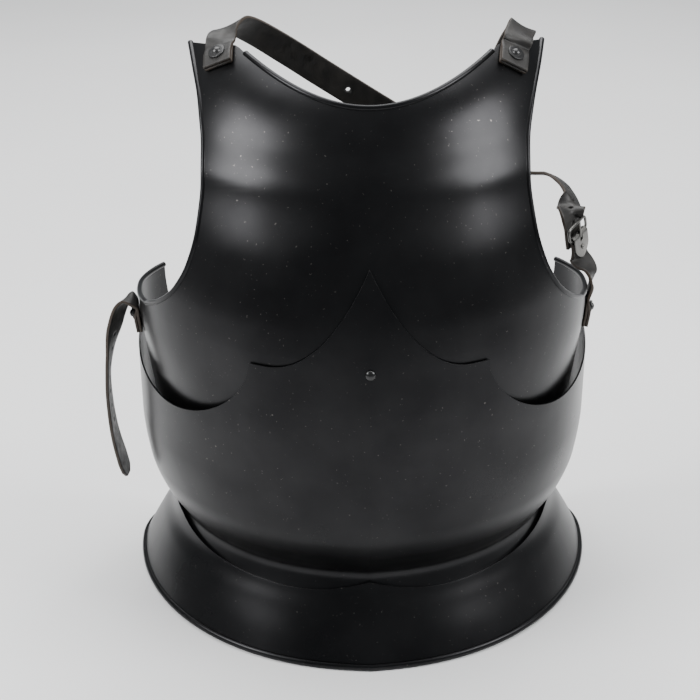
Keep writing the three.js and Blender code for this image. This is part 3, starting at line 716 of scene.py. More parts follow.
def rivet_recipe() -> NodeRecipe:
    """A tree that sets a rivet's head at each point, turned along the point's outward direction."""
    recipe = NodeRecipe("rivets")
    recipe.input("Head", "NodeSocketObject")
    head = recipe.add("GeometryNodeObjectInfo")
    recipe.link(recipe.source.outputs["Head"], head.inputs["Object"])
    outward = recipe.add("GeometryNodeInputNamedAttribute", data_type="FLOAT_VECTOR")
    outward.inputs["Name"].default_value = "outward"
    turn = recipe.add("FunctionNodeAlignRotationToVector", axis="Z")
    recipe.link(outward.outputs["Attribute"], turn.inputs["Vector"])
    copies = recipe.add("GeometryNodeInstanceOnPoints")
    recipe.link(recipe.source.outputs["Geometry"], copies.inputs["Points"])
    recipe.link(head.outputs["Geometry"], copies.inputs["Instance"])
    recipe.link(turn.outputs["Rotation"], copies.inputs["Rotation"])
    recipe.finish(copies.outputs["Instances"])
    return recipe


def roll_recipe() -> NodeRecipe:
    """A tree that sweeps a round bar along the mesh's line."""
    recipe = NodeRecipe("rolled_edge")
    recipe.input("Radius", "NodeSocketFloat")
    line = recipe.add("GeometryNodeMeshToCurve")
    recipe.link(recipe.source.outputs["Geometry"], line.inputs["Mesh"])
    circle = recipe.add("GeometryNodeCurvePrimitiveCircle")
    circle.inputs["Resolution"].default_value = 14
    recipe.link(recipe.source.outputs["Radius"], circle.inputs["Radius"])
    sweep = recipe.add("GeometryNodeCurveToMesh")
    sweep.inputs["Fill Caps"].default_value = True
    recipe.link(line.outputs["Curve"], sweep.inputs["Curve"])
    recipe.link(circle.outputs["Curve"], sweep.inputs["Profile Curve"])
    recipe.finish(sweep.outputs["Mesh"])
    return recipe


def punch_recipe() -> NodeRecipe:
    """A tree that punches a round hole through the mesh at each point of another object."""
    recipe = NodeRecipe("punched_holes")
    recipe.input("Places", "NodeSocketObject")
    recipe.input("Radius", "NodeSocketFloat")
    places = recipe.add("GeometryNodeObjectInfo")
    recipe.link(recipe.source.outputs["Places"], places.inputs["Object"])
    outward = recipe.add("GeometryNodeInputNamedAttribute", data_type="FLOAT_VECTOR")
    outward.inputs["Name"].default_value = "outward"
    turn = recipe.add("FunctionNodeAlignRotationToVector", axis="Z")
    recipe.link(outward.outputs["Attribute"], turn.inputs["Vector"])
    punch = recipe.add("GeometryNodeMeshCylinder")
    punch.inputs["Vertices"].default_value = 20
    punch.inputs["Depth"].default_value = 3 * STRAP * MM
    recipe.link(recipe.source.outputs["Radius"], punch.inputs["Radius"])
    copies = recipe.add("GeometryNodeInstanceOnPoints")
    recipe.link(places.outputs["Geometry"], copies.inputs["Points"])
    recipe.link(punch.outputs["Mesh"], copies.inputs["Instance"])
    recipe.link(turn.outputs["Rotation"], copies.inputs["Rotation"])
    realise = recipe.add("GeometryNodeRealizeInstances")
    recipe.link(copies.outputs["Instances"], realise.inputs["Geometry"])
    cut = recipe.add("GeometryNodeMeshBoolean", operation="DIFFERENCE")
    recipe.link(recipe.source.outputs["Geometry"], cut.inputs["Mesh 1"])
    recipe.link(realise.outputs["Geometry"], cut.inputs["Mesh 2"])
    recipe.finish(cut.outputs["Mesh"])
    return recipe


@dataclass(frozen=True)
class Recipes:
    """The trees, built once."""

    rivets: NodeRecipe = field(default_factory=rivet_recipe)
    rolls: NodeRecipe = field(default_factory=roll_recipe)
    holes: NodeRecipe = field(default_factory=punch_recipe)


def points_object(name: str, places: Sequence[tuple[Vector, Vector]]) -> bpy.types.Object:
    """An object of loose points, each with its outward direction.

    Args:
        name: The object's name.
        places: Each point and its outward direction, in the body's frame.

    Returns:
        The object.
    """
    mesh = bpy.data.meshes.new(name)
    mesh.from_pydata([to_part(p) for p, _ in places], [], [])
    attribute = mesh.attributes.new("outward", "FLOAT_VECTOR", "POINT")
    for item, (_, outward) in zip(attribute.data, places):
        item.vector = outward.normalized()
    return new_object(name, mesh)


def line_object(name: str, points: Sequence[Vector]) -> bpy.types.Object:
    """An object of one open line."""
    mesh = bpy.data.meshes.new(name)
    mesh.from_pydata([to_part(p) for p in points], [(i, i + 1) for i in range(len(points) - 1)], [])
    return new_object(name, mesh)


# ---------------------------------------------------------------- plates


@dataclass
class ChestPlate:
    """The breast and its girth band, with rolled neck and arm openings."""

    dresser: Dresser
    recipes: Recipes
    wing_columns: int = 18
    breast_columns: int = 46
    band_rows: int = 26
    breast_rows: int = 64

    def columns(self) -> list[float]:
        """The angles of the columns, from the right rear edge to the left one."""
        corner = arm_front_angle(JUNCTION)
        wing = spread(REAR_ANGLE, corner, self.wing_columns)[:-1]
        half = wing + spread(corner, 0.0, self.breast_columns)
        return [-a for a in half] + half[:-1][::-1]

    def shell(self) -> bpy.types.Mesh:
        """The wall, without its rolls."""
        corner = arm_front_angle(JUNCTION)
        angles = self.columns()
        tops = [arm_side_station(abs(a)) if abs(a) >= corner else JUNCTION for a in angles]
        levels = spread(0.0, 1.0, self.band_rows)
        net, quads = net_of([[(a, lerp(CHEST_BOTTOM, top, t)) for a, top in zip(angles, tops)] for t in levels])
        first = (self.band_rows - 1) * len(angles)
        inner = [i for i, a in enumerate(angles) if abs(a) <= corner + 1e-6]
        below = [first + i for i in inner]
        outer = arm_front_angle(SHOULDER_STATION)
        for t in spread(0.0, 1.0, self.breast_rows)[1:]:
            rise = t**1.35
            edge = arm_front_angle(lerp(JUNCTION, SHOULDER_STATION, rise))
            row = []
            for i in inner:
                u = angles[i] / corner
                row.append(len(net))
                net.append((u * edge, lerp(JUNCTION, neck_or_shoulder(u * outer), rise)))
            quads += [(a, b, d, c) for a, b, c, d in zip(below, below[1:], row, row[1:])]
            below = row
        return plate_mesh("chest_plate_shell", CHEST, net, quads)

    def arm_edge(self, side: int) -> list[Vector]:
        """The middle of the wall along one arm opening's edge."""
        along = [(a, arm_side_station(a)) for a in spread(REAR_ANGLE, arm_front_angle(JUNCTION), 26)]
        for t in spread(0.0, 1.0, 70)[1:]:
            s = lerp(JUNCTION, SHOULDER_STATION, t**1.35)
            along.append((arm_front_angle(s), s))
        return [CHEST.out(side * a, s, -PLATE / 2) for a, s in along]

    def neck_edge(self) -> list[Vector]:
        """The middle of the wall along the neck's edge."""
        angles = spread(-NECK_ROLL_ANGLE, NECK_ROLL_ANGLE, 60)
        return [CHEST.out(a, neck_or_shoulder(a), -PLATE / 2) for a in angles]

    def build(self) -> None:
        """Makes the plate and its three rolls."""
        steel = self.dresser.materials[Finish.PLATE]
        plate = new_object("chest_plate_shell", self.shell())
        soften(plate, 0.3)
        self.dresser.dress(plate, Finish.PLATE, "chest_plate")
        edges = (
            ("arm_roll_right", self.arm_edge(-1), ARM_ROLL),
            ("arm_roll_left", self.arm_edge(1), ARM_ROLL),
            ("neck_roll", self.neck_edge(), NECK_ROLL),
        )
        for name, points, radius in edges:
            roll = line_object(name, points)
            self.recipes.rolls.run(roll, Radius=radius * MM, Material=steel)
            roll.data.shade_smooth()
            soften(roll, 0.5, 60)
            self.dresser.dress(roll, Finish.PLATE)


@dataclass
class Plackart:
    """The plate over the belly, with its cusped upper edge."""

    dresser: Dresser
    side_columns: int = 30
    rows: int = 90

    def build(self) -> None:
        """Makes the plate."""
        peak = [PEAK_HALF * (i / 30) ** 1.25 for i in range(30)] + spread(PEAK_HALF, CUSP, 5)
        arc = [
            ARC_LOW_ANGLE - (ARC_LOW_ANGLE - CUSP) * math.cos(math.radians(d))
            for d in spread(2.0, 90.0, 26)
        ]
        side = spread(ARC_LOW_ANGLE, REAR_ANGLE, self.side_columns)[1:]
        half = peak + arc + side
        angles = [-a for a in half[:0:-1]] + half
        levels = spread(0.0, 1.0, self.rows)
        net, quads = net_of([[(a, lerp(PLACKART_BOTTOM, plackart_top(a), t)) for a in angles] for t in levels])
        plate = new_object("plackart_shell", plate_mesh("plackart_shell", PLACKART, net, quads))
        soften(plate, 0.3)
        self.dresser.dress(plate, Finish.PLATE, "plackart")


@dataclass
class Fauld:
    """The flared skirt over the waist, with its rolled rim."""

    dresser: Dresser
    columns: int = 151
    rows: int = 22

    def build(self) -> None:
        """Makes the plate and its rim."""
        angles = spread(-REAR_ANGLE, REAR_ANGLE, self.columns)
        levels = spread(0.0, 1.0, self.rows)
        net, quads = net_of([[(a, lerp(RIM_ROLL, fauld_top(a), t)) for a in angles] for t in levels])
        plate = new_object("fauld_shell", plate_mesh("fauld_shell", FAULD, net, quads))
        soften(plate, 0.3)
        self.dresser.dress(plate, Finish.PLATE, "fauld")
        rim = new_object("rim_roll", self.rim(angles))
        soften(rim, 0.3, 50)
        self.dresser.dress(rim, Finish.PLATE)

    def rim(self, angles: Sequence[float], sides: int = 16) -> bpy.types.Mesh:
        """The rolled rim, with a flat underside in the plane z = 0."""
        points = []
        for a in angles:
            outward = FAULD.normal(a, RIM_ROLL)
            outward.z = 0
            outward.normalize()
            centre = FAULD.at(a, RIM_ROLL) - outward * (PLATE / 2)
            for k in range(sides):
                turn = 2 * math.pi * (k + 0.5) / sides
                point = centre + outward * (RIM_ROLL * math.cos(turn))
                point.z = max(RIM_ROLL * (1 + math.sin(turn) * 1.02), 0.0)
                points.append(point)
        return mesh_from("rim_roll", points, tube_faces(len(angles), sides))


# ---------------------------------------------------------------- leather


@dataclass(frozen=True)
class Row:
    """One section of a strap: its centre, the direction across it, its width and thickness."""

    at: Vector
    across: Vector
    width: float = STRAP_WIDTH
    thick: float = STRAP


def row(x: float, y: float, z: float, ax: float, ay: float, az: float, width: float = STRAP_WIDTH) -> Row:
    """A free section of a strap from bare numbers."""
    return Row(Vector((x, y, z)), Vector((ax, ay, az)).normalized(), width)


def on_chest(x: float, s: float, thick: float = STRAP_END) -> Row:
    """A section of a strap that lies on the chest plate."""
    angle = CHEST.angle_at_x(x, s)
    normal = CHEST.normal(angle, s)
    back = CHEST.at(CHEST.angle_at_x(x, s + 1), s + 1) - CHEST.at(angle, s)
    across = back.normalized().cross(normal).normalized()
    return Row(CHEST.out(angle, s, STRAP_LIFT + thick / 2), across, STRAP_WIDTH, thick)


def on_side(angle: float, s: float, thick: float = STRAP_END) -> Row:
    """A section of a strap that lies upright on the side wall."""
    normal = CHEST.normal(angle, s)
    across = Vector((0, 0, 1)).cross(normal).normalized()
    return Row(CHEST.out(angle, s, STRAP_LIFT + thick / 2), across, STRAP_WIDTH, thick)


def spline(points: Sequence[Vector], closed_t: float) -> tuple[Vector, Vector]:
    """A centripetal Catmull-Rom curve's point and direction at a fraction of its length in rows."""
    last = len(points) - 1
    place = min(closed_t * last, last - 1e-9)
    i = int(place)
    t = place - i
    p1, p2 = points[i], points[i + 1]
    p0 = points[i - 1] if i else p1 * 2 - p2
    p3 = points[i + 2] if i + 2 <= last else p2 * 2 - p1
    d0 = max((p1 - p0).length ** 0.5, 1e-4)
    d1 = max((p2 - p1).length ** 0.5, 1e-4)
    d2 = max((p3 - p2).length ** 0.5, 1e-4)
    m1 = ((p1 - p0) / d0 - (p2 - p0) / (d0 + d1) + (p2 - p1) / d1) * d1
    m2 = ((p2 - p1) / d1 - (p3 - p1) / (d1 + d2) + (p3 - p2) / d2) * d1
    a = p1 * 2 - p2 * 2 + m1 + m2
    b = p2 * 3 - p1 * 3 - m1 * 2 - m2
    point = a * t**3 + b * t * t + m1 * t + p1
    slope = a * (3 * t * t) + b * (2 * t) + m1
    return point, slope.normalized()


@dataclass
class Strap:
    """A leather strap through rows of sections, with a doubled end under its rivet."""

    name: str
    node: str
    rows: Sequence[Row]
    holes: Sequence[float] = ()
    doubled_rows: int = 3
    per_span: int = 12
    corner: float = 0.55
    hole_radius: float = 2.1

    def frames(self, rows: Sequence[Row]) -> list[tuple[Vector, Vector, Vector, float, float]]:
        """Sections along the rows: centre, across, outwards, width and thickness."""
        spans = len(rows) - 1
        made = []
        for k in range(spans * self.per_span + 1):
            t = k / (spans * self.per_span)
            i = min(k // self.per_span, spans - 1)
            part = k / self.per_span - i
            centre, along = spline([r.at for r in rows], t)
            across, _ = spline([r.across for r in rows], t)
            across = (across - along * across.dot(along)).normalized()
            outward = across.cross(along).normalized()
            width = lerp(rows[i].width, rows[i + 1].width, part)
            thick = lerp(rows[i].thick, rows[i + 1].thick, part)
            made.append((centre, across, outward, width, thick))
        return made

    def section(self, width: float, thick: float) -> list[tuple[float, float, float]]:
        """A rounded oblong's points across and outwards, each with how much it is a cut edge."""
        r = min(self.corner, thick * 0.4)
        w, h = width / 2, thick / 2
        points = []
        for cx, cy, start in ((w - r, h - r, 0), (-w + r, h - r, 90), (-w + r, -h + r, 180), (w - r, -h + r, 270)):
            for step in (0, 45, 90):
                a = math.radians(start + step)
                points.append((cx + r * math.cos(a), cy + r * math.sin(a), abs(math.cos(a)) ** 2))
            if start == 0:
                points += [(x, h, 0.0) for x in spread(w * 0.8, -w * 0.8, 7)]
            if start == 180:
                points += [(x, -h, 0.0) for x in spread(-w * 0.8, w * 0.8, 7)]
        return points

    def layer(self, rows: Sequence[Row], thin: float, side: float) -> bpy.types.Object:
        """One layer of leather.

        Args:
            rows: The sections that it runs through.
            thin: Its thickness.
            side: 1 for the outer layer of a doubled end, -1 for the inner one.

        Returns:
            The layer's object.
        """
        points: list[Vector] = []
        edge: list[float] = []
        frames = self.frames(rows)
        for centre, across, outward, width, thick in frames:
            middle = centre + outward * (side * max(thick - thin, 0.0) / 2)
            own = min(thin, thick) if side < 0 else max(thin, thick - thin if thick > STRAP else thick)
            own = thin if thick > STRAP else own
            for u, v, cut in self.section(width, own):
                points.append(middle + across * u + outward * v)
                edge.append(cut)
        sides = len(points) // len(frames)
        mesh = mesh_from(self.name, points, tube_faces(len(frames), sides))
        attribute = mesh.attributes.new("cut_edge", "FLOAT", "POINT")
        attribute.data.foreach_set("value", edge)
        return new_object(self.name, mesh)

    def hole_places(self) -> list[tuple[Vector, Vector]]:
        """Where the holes are, as distances in millimetres back from the far end."""
        frames = self.frames(self.rows)[::-1]
        places = []
        travelled = 0.0
        wanted = sorted(self.holes)
        for (here, _, outward, _, _), (after, *_) in zip(frames, frames[1:]):
            step = (after - here).length
            while wanted and travelled + step >= wanted[0]:
                t = (wanted.pop(0) - travelled) / step
                places.append((here.lerp(after, t), outward))
            travelled += step
        return places

    def build(self, dresser: Dresser, recipes: Recipes) -> None:
        """Makes the strap, punches its holes and adds the second layer of its riveted end."""
        outer = self.layer(self.rows, LAYER, 1.0)
        if self.holes:
            places = points_object("hole_places", self.hole_places())
            leather = dresser.materials[Finish.LEATHER]
            recipes.holes.run(outer, Places=places, Radius=self.hole_radius * MM, Material=leather)
            bpy.data.objects.remove(places)
        outer.data.shade_smooth()
        dresser.dress(outer, Finish.LEATHER, self.node)
        inner = self.layer(self.rows[: self.doubled_rows], LAYER, -1.0)
        inner.name = self.name + "_backing"
        inner.data.shade_smooth()
        dresser.dress(inner, Finish.LEATHER)


# ---------------------------------------------------------------- buckles


def buckle_frame(origin: Vector, across: Vector, along: Vector) -> Matrix:
    """A buckle's frame: x across the strap, y towards the strap that is held, z outwards."""
    a = across.normalized()
    t = (along - a * along.dot(a)).normalized()
    matrix = Matrix.Identity(4)
    for column, axis in enumerate((a, t, a.cross(t), origin)):
        for i in range(3):
            matrix[i][column] = axis[i]
    return matrix


def in_buckle(frame: Matrix, along: float, height: float, sign: float = 1.0) -> Row:
    """A strap's section in a buckle's frame."""
    return Row(frame @ Vector((0, along, height)), frame.to_3x3().col[0] * sign)


@dataclass
class Buckle:
    """A rounded oblong frame with its tongue, and the chape that holds its hinge bar."""

    frame: Matrix
    width: float = BUCKLE_WIDTH
    length: float = BUCKLE_LENGTH
    bar: float = BUCKLE_BAR
    corner: float = 3.7

    def ring_path(self) -> list[Vector]:
        """The middle line of the frame, once round."""
        w = self.width / 2 - self.bar / 2
        high = self.length - self.bar
        r = self.corner
        path = []
        for cx, cy, start in ((w - r, r, 270), (w - r, high - r, 0), (-w + r, high - r, 90), (-w + r, r, 180)):
            for a in spread(start, start + 90, 8):
                path.append(Vector((cx + r * math.cos(math.radians(a)), cy + r * math.sin(math.radians(a)), 0)))
        return path

    def ring(self, name: str, sides: int = 14) -> bpy.types.Object:
        """The frame, a bar of flattened round section."""
        path = self.ring_path()
        count = len(path)
        points = []
        for i, p in enumerate(path):
            along = (path[(i + 1) % count] - path[i - 1]).normalized()
            out = Vector((along.y, -along.x, 0))
            for k in range(sides):
                a = 2 * math.pi * k / sides
                section = out * math.cos(a) + Vector((0, 0, 1)) * (math.sin(a) * 0.92)
                points.append(self.frame @ (p + section * (self.bar / 2)))
        faces = []
        for j in range(count):
            for i in range(sides):
                a, b = j * sides + i, j * sides + (i + 1) % sides
                c, d = ((j + 1) % count) * sides + (i + 1) % sides, ((j + 1) % count) * sides + i
                faces.append((a, b, c, d))
        obj = new_object(name, mesh_from(name, points, faces))
        obj.data.shade_smooth()
        return obj

    def tongue(self, name: str) -> bpy.types.Object:
        """The tongue: a pin that curls round the hinge bar and rests on the far bar."""
        curl = 2.8
        path = [
            Vector((0, curl * math.sin(math.radians(a)), -curl * math.cos(math.radians(a))))
            for a in spread(80, -180, 16)
        ]
        for t in spread(0.12, 1.0, 9):
            path.append(Vector((0, t * (self.length - 0.8), lerp(curl, 2.5, t) + 0.5 * math.sin(math.pi * t))))
        points = []
        sides = 10
        for i, p in enumerate(path):
            ahead = path[min(i + 1, len(path) - 1)] - path[max(i - 1, 0)]
            along = ahead.normalized()
            up = Vector((1, 0, 0)).cross(along)
            taper = 1.0 if i < len(path) - 3 else lerp(1.0, 0.62, (i - len(path) + 4) / 3)
            for k in range(sides):
                a = 2 * math.pi * k / sides
                across = Vector((1.15 * math.cos(a), 0, 0))
                points.append(self.frame @ (p + (across + up * (0.62 * math.sin(a))) * taper))
        obj = new_object(name, mesh_from(name, points, tube_faces(len(path), sides)))
        obj.data.shade_smooth()
        return obj

    def chape(self, name: str, width: float = 23.0, length: float = 22.0) -> bpy.types.Object:
        """The chape: a pointed steel leaf over the strap, looped round the hinge bar."""
        pieces = []
        notch = 2.1
        for side in (-1, 1):
            outline = [Vector((side * notch, 0, 0)), Vector((side * notch, -4.5, 0)), Vector((0, -4.5, 0))]
            outline += [Vector((0, -length, 0))]
            for t in spread(0.1, 1.0, 12):
                x = side * width / 2 * (1 - (1 - t) ** 1.7)
                outline.append(Vector((x, -length * lerp(1.0, 0.45, t**1.25), 0)))
            outline.append(Vector((side * width / 2, 0, 0)))
            low, high = LOOP_BORE, LOOP_RADIUS
            count = len(outline)
            points = [self.frame @ (p + Vector((0, 0, z))) for z in (low, high) for p in outline]
            faces = [tuple(range(count)), tuple(range(2 * count - 1, count - 1, -1))]
            faces += [(i, (i + 1) % count, (i + 1) % count + count, i + count) for i in range(count)]
            pieces.append(new_object(name, mesh_from(name, points, faces)))
            pieces.append(self.loop(name, side * notch, side * width / 2))
        leaf = join(name, pieces)
        soften(leaf, 0.22, 35)
        return leaf

    def loop(self, name: str, x0: float, x1: float, steps: int = 28) -> bpy.types.Object:
        """A steel loop round the hinge bar, between two places across the buckle."""
        ring = []
        for i in range(steps + 1):
            a = math.radians(lerp(90, -180, i / steps))
            ring.append((Vector((0, math.cos(a), math.sin(a)))))
        points = []
        for direction in ring:
            for x, radius in ((x0, LOOP_BORE), (x0, LOOP_RADIUS), (x1, LOOP_RADIUS), (x1, LOOP_BORE)):
                points.append(self.frame @ (Vector((x, 0, 0)) + direction * radius))
        return new_object(name, mesh_from(name, points, tube_faces(len(ring), 4)))


# ---------------------------------------------------------------- rivets


@dataclass(frozen=True)
class RivetHead:
    """A domed head, with a washer under it where it holds leather."""

    dome: float
    washer: float = 0.0
    washer_height: float = 1.2
    rise: float = 0.68

    def build(self, name: str, steps: int = 40) -> bpy.types.Object:
        """A head about its own axis, as the object that the copies are taken from."""
        profile: list[tuple[float, float]] = [(0.0, -0.5)]
        foot = 0.0
        if self.washer:
            foot = self.washer_height
            r = 0.35
            profile += [(self.washer, -0.5), (self.washer, foot - r)]
            profile += [
                (self.washer - r + r * math.cos(math.radians(a)), foot - r + r * math.sin(math.radians(a)))
                for a in (30, 60, 90)
            ]
            profile += [(self.dome + 0.2, foot)]
        else:
            profile += [(self.dome, -0.5)]
        for a in spread(8, 90, 14):
            angle = math.radians(a)
            profile.append((self.dome * math.cos(angle), foot + self.dome * self.rise * math.sin(angle)))
        points = []
        for i in range(steps):
            turn = 2 * math.pi * i / steps
            for radius, height in profile[1:-1]:
                points.append(Vector((radius * math.cos(turn), radius * math.sin(turn), height)) * MM)
        count = len(profile) - 2
        low, high = len(points), len(points) + 1
        points += [Vector((0, 0, profile[0][1])) * MM, Vector((0, 0, profile[-1][1])) * MM]
        faces: list[tuple[int, ...]] = []
        for i in range(steps):
            a, b = i * count, ((i + 1) % steps) * count
            faces += [(a + k, b + k, b + k + 1, a + k + 1) for k in range(count - 1)]
            faces += [(low, b, a), (a + count - 1, b + count - 1, high)]
        mesh = bpy.data.meshes.new(name)
        mesh.from_pydata(points, [], faces)
        mesh.shade_smooth()
        mesh.set_sharp_from_angle(angle=math.radians(40))
        return new_object(name, mesh)


@dataclass
class Rivets:
    """Every rivet's head, set on the plates and the strap ends."""

    dresser: Dresser
    recipes: Recipes

    def place(self, name: str, head: RivetHead, finish: Finish, places: Sequence, *nodes: str) -> None:
        """Sets one kind of rivet at its places.

        Args:
            name: The piece's name.
            head: The head's sizes.
            finish: Its material slot.
            places: Each head's foot and outward direction.
            nodes: The CAD rivets that it stands for.
        """
        source = head.build(name + "_source")
        piece = points_object(name, places)
        self.recipes.rivets.run(piece, Head=source, Material=self.dresser.materials[finish])
        bpy.data.objects.remove(source)
        self.dresser.dress(piece, finish, *nodes)

    def on_plate(self, form: Form, angle: float, s: float, lift: float = GAP) -> tuple[Vector, Vector]:
        """A head's foot and direction on a plate."""
        return form.out(angle, s, lift), form.normal(angle, s)

    def on_strap(self, end: Row, normal: Vector) -> tuple[Vector, Vector]:
        """A head's foot and direction on a strap's end."""
        return end.at + normal * (end.thick / 2 + GAP / 2), normal

    def build(self, ends: dict[str, tuple[Row, Vector]], chape: tuple[Vector, Vector]) -> None:
        """Sets the rivets.

        Args:
            ends: The strap ends under the shoulder and side rivets, by side.
            chape: The place of the chape's small rivet.
        """
        flank = [self.on_plate(PLACKART, side * 103, 205) for side in (-1, 1)]
        waist = [self.on_plate(FAULD, side * 103, 50) for side in (-1, 1)]
        shoulder = [self.on_strap(*ends[k]) for k in ("shoulder_left", "shoulder_right")]
        side_ends = [self.on_strap(*ends[k]) for k in ("side_left", "side_right")]
        centre = [self.on_plate(PLACKART, 0.01, 270)]
        self.place("centre_rivet_head", RivetHead(4.4), Finish.RIVET, centre, "centre_rivet")
        self.place(
            "flank_rivet_heads", RivetHead(3.6), Finish.RIVET, flank, "flank_rivet_left", "flank_rivet_right"
        )
        self.place(
            "waist_rivet_heads", RivetHead(3.6), Finish.RIVET, waist, "waist_rivet_left", "waist_rivet_right"
        )
        self.place(
            "shoulder_rivet_heads",
            RivetHead(3.8, 7.2),
            Finish.RIVET,
            shoulder,
            "shoulder_rivet_left",
            "shoulder_rivet_right",
        )
        self.place(
            "side_rivet_heads", RivetHead(3.4, 5.4), Finish.RIVET, side_ends, "side_rivet_left", "side_rivet_right"
        )
        self.place("chape_rivet_head", RivetHead(2.2), Finish.BUCKLE, [chape], "chape_rivet")


# ---------------------------------------------------------------- harness


@dataclass
class Harness:
    """The four straps and two buckles."""

    dresser: Dresser
    recipes: Recipes
    side_angle: float = 84.0
    side_rivet: float = 250.0
    side_buckle: Matrix = field(
        default_factory=lambda: buckle_frame(
            Vector((193.5, 0, 310)), Vector((0.6, 0.76, 0.24)), Vector((-0.18, -0.15, 0.95))
        )
    )
    rear_buckle: Matrix = field(
        default_factory=lambda: buckle_frame(
            Vector((114, 28, 434)), Vector((-0.95, 0, 0.3)), Vector((-0.3, 0.02, -0.95))
        )
    )

    def long_strap(self) -> Strap:
        """The strap from the right shoulder, across the open back, to the side buckle."""
        frame = self.side_buckle
        behind = -(LOOP_RADIUS + GAP + STRAP / 2)
        rows = [
            on_chest(-118, 511),
            on_chest(-118, 527),
            on_chest(-118, 541, STRAP),
            row(-117.5, -8, 492.6, 1, 0, 0.16),
            row(-115.5, 0, 496.3, 0.96, -0.12, 0.27),
            row(-110, 9, 498.3, 0.8, -0.35, 0.48),
            row(-103, 19, 496.5, 0.58, -0.4, 0.71),
            row(-92, 28, 489.5, 0.54, -0.25, 0.8),
            row(-64, 37, 470, 0.56, -0.05, 0.82),
            row(-30, 43, 446, 0.57, 0, 0.82),
            row(20, 51, 412, 0.55, -0.1, 0.82),
            row(70, 58, 380, 0.42, -0.45, 0.78),
            row(118, 62, 357, 0.15, -0.82, 0.55),
            row(152, 60, 348.5, -0.06, -0.93, 0.37),
            row(172, 52, 349, -0.1, -0.94, 0.32),
            row(183.5, 39, 344.5, -0.14, -0.97, 0.17),
            row(190, 22, 335.5, -0.27, -0.95, 0.03),
            in_buckle(frame, BUCKLE_LENGTH + 6, -6, -1),
            in_buckle(frame, BUCKLE_LENGTH - 3, -5, -1),
            in_buckle(frame, 1, behind, -1),
            in_buckle(frame, -9, behind, -1),
        ]
        holes = [22 + 15 * i for i in range(9)] + [300.0]
        return Strap("long_shoulder_strap", "shoulder_strap_left", rows, holes)

    def short_strap(self) -> Strap:
        """The strap over the left shoulder to the buckle behind it."""
        frame = self.rear_buckle
        rows = [
            on_chest(121, 507),
            on_chest(123, 522),
            on_chest(126, 539, STRAP),
            row(129, -16, 491.5, 0.97, 0.1, -0.2),
            row(132, -6, 495, 0.88, 0.28, -0.38),
            row(135, 5, 496.5, 0.76, 0.44, -0.48),
            row(135, 15, 491.5, 0.76, 0.4, -0.52),
            row(131, 22, 481, 0.82, 0.2, -0.52),
            row(125, 26, 465, 0.9, 0.05, -0.38),
            in_buckle(frame, -14, 0, -1),
            in_buckle(frame, -LOOP_RADIUS - GAP, 0, -1),
        ]
        return Strap("short_shoulder_strap", "shoulder_strap_right", rows)

    def hanging_strap(self) -> Strap:
        """The loose strap that folds over its rivet and hangs beside the plate."""
        angle = -self.side_angle
        rows = [
            on_side(angle, self.side_rivet - 14),
            on_side(angle, self.side_rivet),
            on_side(angle, self.side_rivet + 8, STRAP),
            row(-206.5, -21, 263.5, -0.1, -1, 0.0),
            row(-210.8, -21, 263.2, -0.2, -0.97, 0.1),
            row(-216.5, -22, 255, -0.35, -0.9, 0.25),
            row(-222.5, -23, 238, -0.36, -0.9, 0.2),
            row(-228.5, -23, 213, -0.1, -0.99, 0.05),
            row(-232.5, -22, 185, 0.02, -1, 0),
            row(-233, -20, 155, 0, -1, 0),
            row(-231, -18, 125, -0.05, -1, 0),
            row(-226.5, -16, 98, -0.12, -0.99, 0),
            row(-224, -15, 86, -0.15, -0.98, 0, 20),
            row(-223, -15, 80, -0.15, -0.98, 0, 10),
        ]
        holes = [62 + 15 * i for i in range(7)]
        return Strap("hanging_side_strap", "side_strap_left", rows, holes)

    def buckle_strap(self) -> Strap:
        """The short side strap that carries the fastened buckle."""
        frame = self.side_buckle
        rows = [
            on_side(self.side_angle, self.side_rivet - 15),
            on_side(self.side_angle, self.side_rivet),
            on_side(self.side_angle, self.side_rivet + 8, STRAP),
            row(204.3, -15, 267, 0.13, 0.99, 0.02),
            row(204.2, -9, 277, 0.25, 0.95, 0.1),
            in_buckle(frame, -22, -1.6),
            in_buckle(frame, -11, 0),
            in_buckle(frame, -LOOP_RADIUS - GAP, 0),
        ]
        return Strap("buckle_side_strap", "side_strap_right", rows)

    def ends(self) -> dict[str, tuple[Row, Vector]]:
        """The strap ends that the rivets hold, each with the plate's normal there."""
        places = {
            "shoulder_left": (-118.0, 527.0),
            "shoulder_right": (123.0, 522.0),
        }
        made = {
            key: (on_chest(x, s), CHEST.normal(CHEST.angle_at_x(x, s), s)) for key, (x, s) in places.items()
        }
        for key, side in (("side_left", -1), ("side_right", 1)):
            angle = side * self.side_angle
            made[key] = (on_side(angle, self.side_rivet), CHEST.normal(angle, self.side_rivet))
        return made

    def build(self) -> None:
        """Makes the straps and the buckles."""
        for strap in (self.long_strap(), self.short_strap(), self.hanging_strap(), self.buckle_strap()):
            strap.build(self.dresser, self.recipes)
        side = Buckle(self.side_buckle)
        self.dresser.dress(side.ring("side_buckle_frame"), Finish.BUCKLE, "buckle_frame")
        self.dresser.dress(side.tongue("side_buckle_tongue"), Finish.BUCKLE, "buckle_tongue")
        self.dresser.dress(side.chape("side_buckle_chape"), Finish.BUCKLE, "buckle_chape")
        rear = Buckle(self.rear_buckle)
        self.dresser.dress(rear.ring("rear_buckle_frame"), Finish.BUCKLE, "rear_buckle")
        self.dresser.dress(rear.tongue("rear_buckle_tongue"), Finish.BUCKLE)

    def chape_rivet(self) -> tuple[Vector, Vector]:
        """The chape rivet's foot and direction."""
        return (
            self.side_buckle @ Vector((0, -11, LOOP_RADIUS + GAP / 2)),
            self.side_buckle.to_3x3().col[2].copy(),
        )


# ---------------------------------------------------------------- studio


